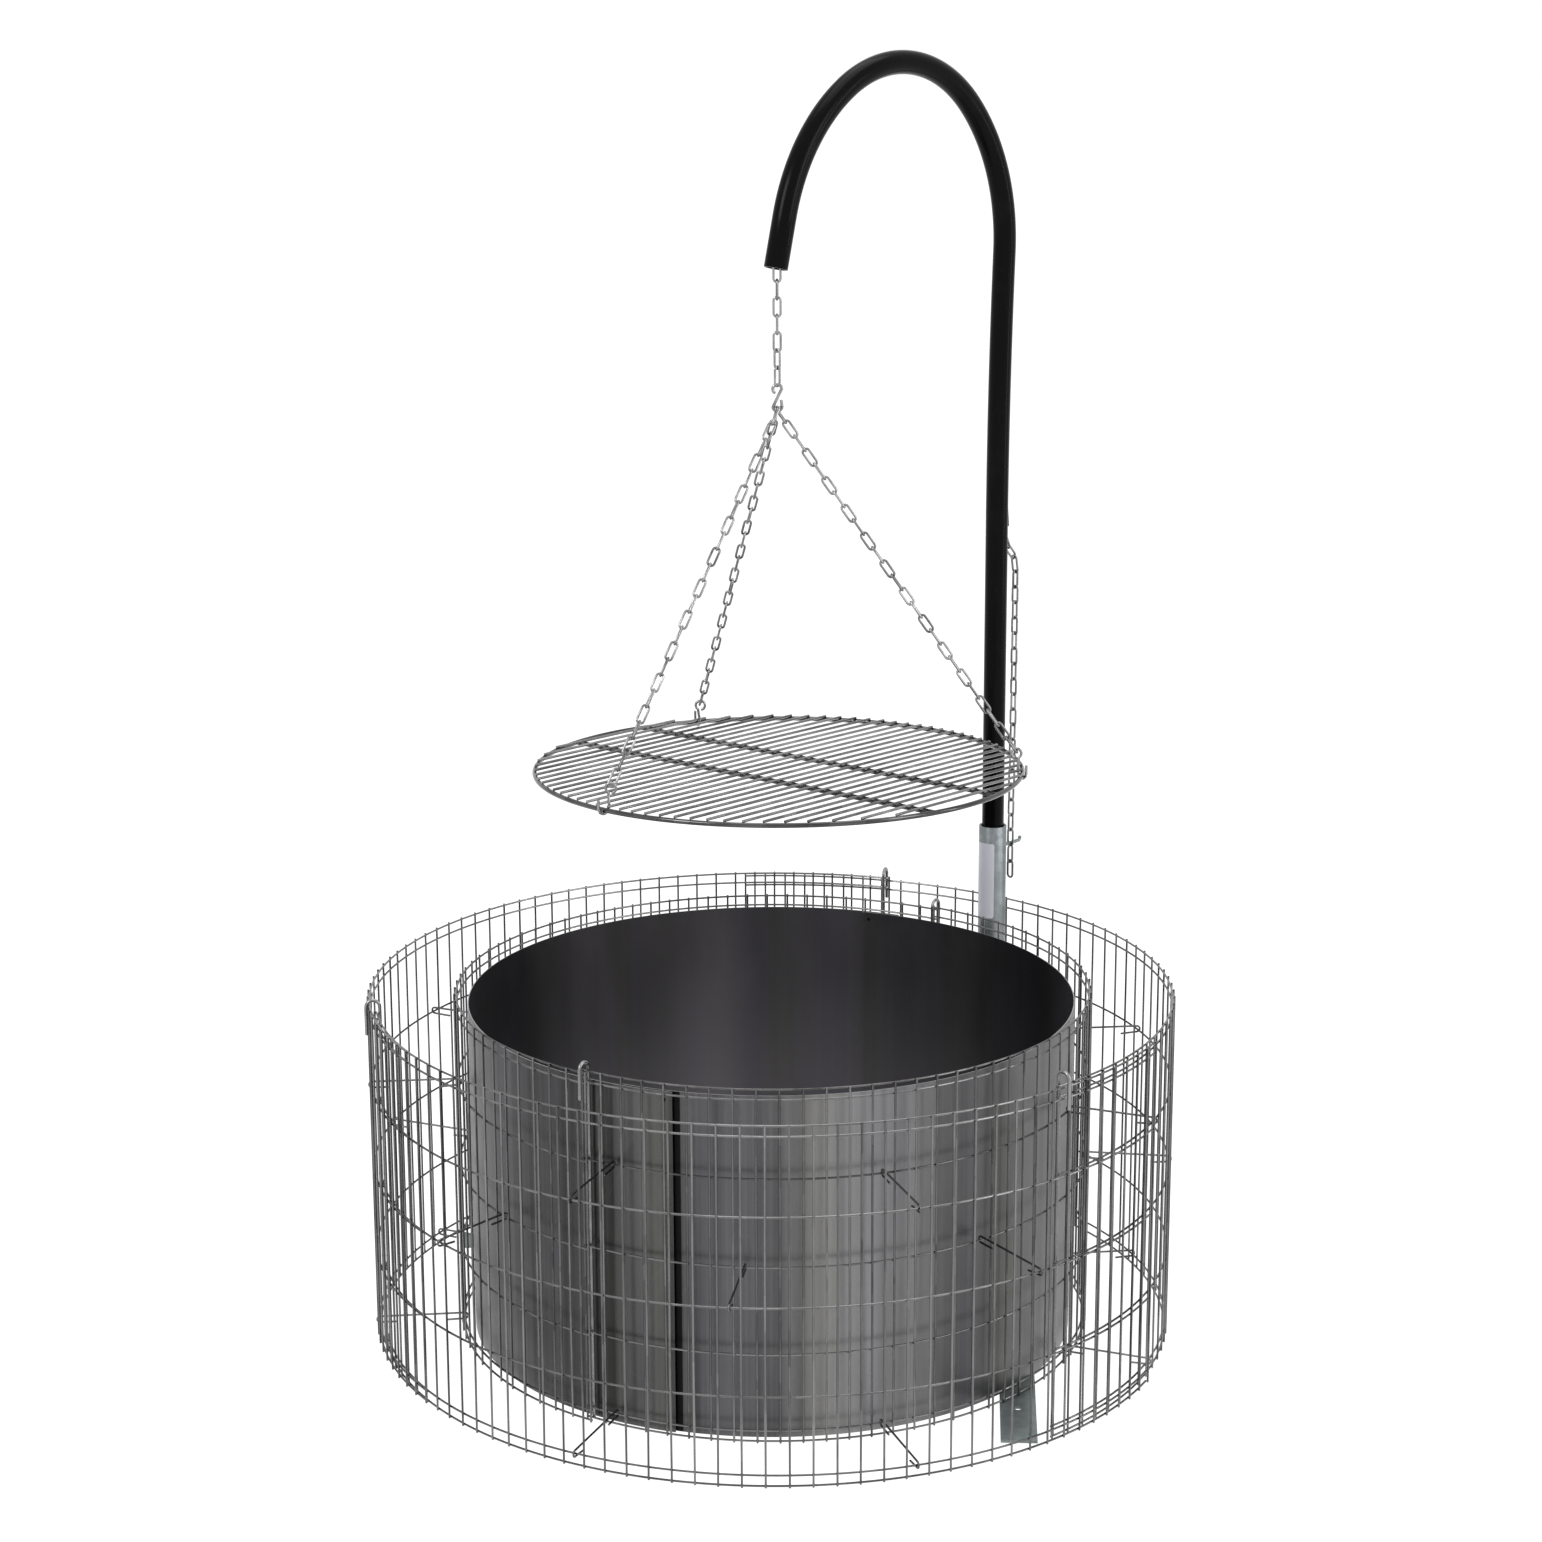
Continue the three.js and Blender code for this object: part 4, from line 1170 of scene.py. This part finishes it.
def grate_hook_path(out, eye, ring):
    """The line of a small hook: a coiled eye that faces front, and a bend that goes under the ring."""
    level = np.array((math.copysign(1, out[0]), 0, 0))
    side = np.cross(UP, level)
    bend = ring + UP * (HOOK_BEND - (GRATE_RING + HOOK_WIRE) / 2)
    path = []
    for k in range(22):
        a = math.radians(255 - k * 15)
        coil = side * (21 - k) * COIL_STEP * MM
        path.append(eye + (level * math.cos(a) + UP * math.sin(a)) * HOOK_EYE + coil)
    for k in range(13):
        a = math.pi * (1 + k / 12)
        path.append(bend + (out * math.cos(a) + UP * math.sin(a)) * HOOK_BEND)
    path.append(bend + out * HOOK_BEND + UP * HOOK_TIP)
    return path


def add_grate_hangers():
    """Three chains from the S-hook, each with a small hook at its end that goes under the ring."""
    for i, turn in enumerate(CHAIN_TURNS):
        angle = rod_gap_near(turn)
        ring, out = at(GRATE_RADIUS, angle, 0), at(1, angle + HOOK_TURNS[i], 0)
        eye = ring - out * (HOOK_BEND + HOOK_LEAN) + UP * (HOOK_HEIGHT - HOOK_EYE)
        path = on_grate(*grate_hook_path(out, eye, ring))
        hook = Piece().add(tube(path, HOOK_WIRE / 2, 12, chamfer=0.4), 0.6)
        hook.make(f"grate_hook_{i + 1}_wire", chain_zinc, "grill", "chain_zinc", f"grate_hook_{i + 1}")
        spread = np.array(ARM_SIDE) * (i - 1) * FAN_SPREAD
        head = in_arm(HANG_X, CHAIN_END - S_HEIGHT + S_WIRE + LINK_WIRE / 2) + spread
        toes = on_grate(eye)[0] + UP * (HOOK_EYE - HOOK_WIRE / 2 - LINK_WIRE / 2)
        way = unit(toes - head)
        span = np.linalg.norm(toes - head)
        count = round((span + LINK_WIRE) / LINK_PITCH)
        chain = Piece()
        face = unit(FRONT - way * np.dot(FRONT, way))
        for k in range(count):
            centre = head + way * span / count * (k + 0.5)
            sag = -UP * CHAIN_SAG * math.sin(math.pi * (k + 0.5) / count)
            turn = math.radians((0 if k % 2 else 90) + shake.uniform(-12, 12))
            flat = face * math.cos(turn) + np.cross(way, face) * math.sin(turn)
            put_link(chain, centre + sag, way, flat)
        chain.make(f"grate_chain_{i + 1}_links", chain_zinc, "grill", "chain_zinc", f"grate_chain_{i + 1}")


# Stage


def add_camera():
    data = bpy.data.cameras.new("photo_view")
    data.sensor_width = SENSOR_MM
    data.lens = SENSOR_MM * FOCAL_PIXELS / PHOTO_WIDTH
    data.clip_end = 60
    camera = new_object("photo_view", data)
    tilt, roll = math.radians(VIEW_ELEVATION), math.radians(VIEW_ROLL)
    forward = Vector((0, math.cos(tilt), -math.sin(tilt)))
    right = Vector((1, 0, 0))
    up = right.cross(forward)
    across = right * math.cos(roll) + up * math.sin(roll)
    rise = up * math.cos(roll) - right * math.sin(roll)
    place = Vector(VIEW_TARGET) - forward * VIEW_DISTANCE
    turn = Matrix((across, rise, -forward)).transposed()
    camera.matrix_world = Matrix.Translation(place) @ turn.to_4x4()
    bpy.context.scene.camera = camera


def end_tree(tree, kind, lit, white):
    """Ends a tree: camera, gloss and glass see it white, and everything else sees it as it is lit."""
    path = tree.nodes.new("ShaderNodeLightPath")
    seen = plus(tree, path.outputs["Is Camera Ray"], path.outputs["Is Glossy Ray"], clamp=True)
    seen = plus(tree, seen, path.outputs["Is Transmission Ray"], clamp=True)
    mix = add_node(tree, "ShaderNodeMixShader", i0=seen, i1=lit.outputs[0], i2=white.outputs[0])
    link_nodes(tree, mix.outputs[0], tree.nodes.new(kind).inputs[0])


def add_floor():
    """A white floor that goes over into the background and still keeps the shadow."""
    mesh = bpy.data.meshes.new("floor")
    corners = [(x * FLOOR_REACH, y * FLOOR_REACH, 0) for x, y in ((-1, -1), (1, -1), (1, 1), (-1, 1))]
    mesh.from_pydata(corners, [], [(0, 1, 2, 3)])
    material = bpy.data.materials.new("floor_white")
    material.use_nodes = True
    tree = material.node_tree
    tree.nodes.clear()
    paper = add_node(tree, "ShaderNodeBsdfDiffuse", Color=grey(0.8))
    soft = add_node(tree, "ShaderNodeBsdfDiffuse", Color=grey(0.30))
    glow = add_node(tree, "ShaderNodeEmission", Color=grey(1.0), Strength=0.98)
    both = add_node(tree, "ShaderNodeAddShader", i0=soft.outputs[0], i1=glow.outputs[0])
    end_tree(tree, "ShaderNodeOutputMaterial", paper, both)
    mesh.materials.append(material)
    floor = new_object("floor", mesh)
    floor.location.z = -FLOOR_DROP


def add_world():
    world = bpy.data.worlds.new("studio")
    bpy.context.scene.world = world
    world.use_nodes = True
    tree = world.node_tree
    tree.nodes.clear()
    light = add_node(tree, "ShaderNodeBackground", Color=grey(1.0), Strength=0.45)
    white = add_node(tree, "ShaderNodeBackground", Color=grey(1.0), Strength=1.0)
    end_tree(tree, "ShaderNodeOutputWorld", light, white)


def add_lamp(name, place, aim, size, power):
    data = bpy.data.lights.new(name, "AREA")
    data.shape = "RECTANGLE"
    data.size, data.size_y = size
    data.energy = power
    lamp = new_object(name, data)
    lamp.location = place
    lamp.rotation_euler = (Vector(aim) - Vector(place)).to_track_quat("-Z", "Y").to_euler()


def add_stage():
    bpy.context.scene.view_settings.view_transform = "Standard"
    add_floor()
    add_world()
    for name, place, aim, size, power in LAMPS:
        add_lamp(name, place, aim, size, power)


def finish_hidden_chain():
    """The run of chain inside the pipe keeps its plain solid and takes the finish of the chains."""
    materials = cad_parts["chain_in_pipe"].data.materials
    materials.clear()
    materials.append(chain_zinc)


add_camera()
add_stage()
add_rings()
add_closing_rods()
add_spacers()
add_liner()
add_foot()
add_post()
add_gooseneck()
add_front_chain()
add_back_chain()
add_s_hook()
add_grate()
add_grate_hangers()
finish_hidden_chain()
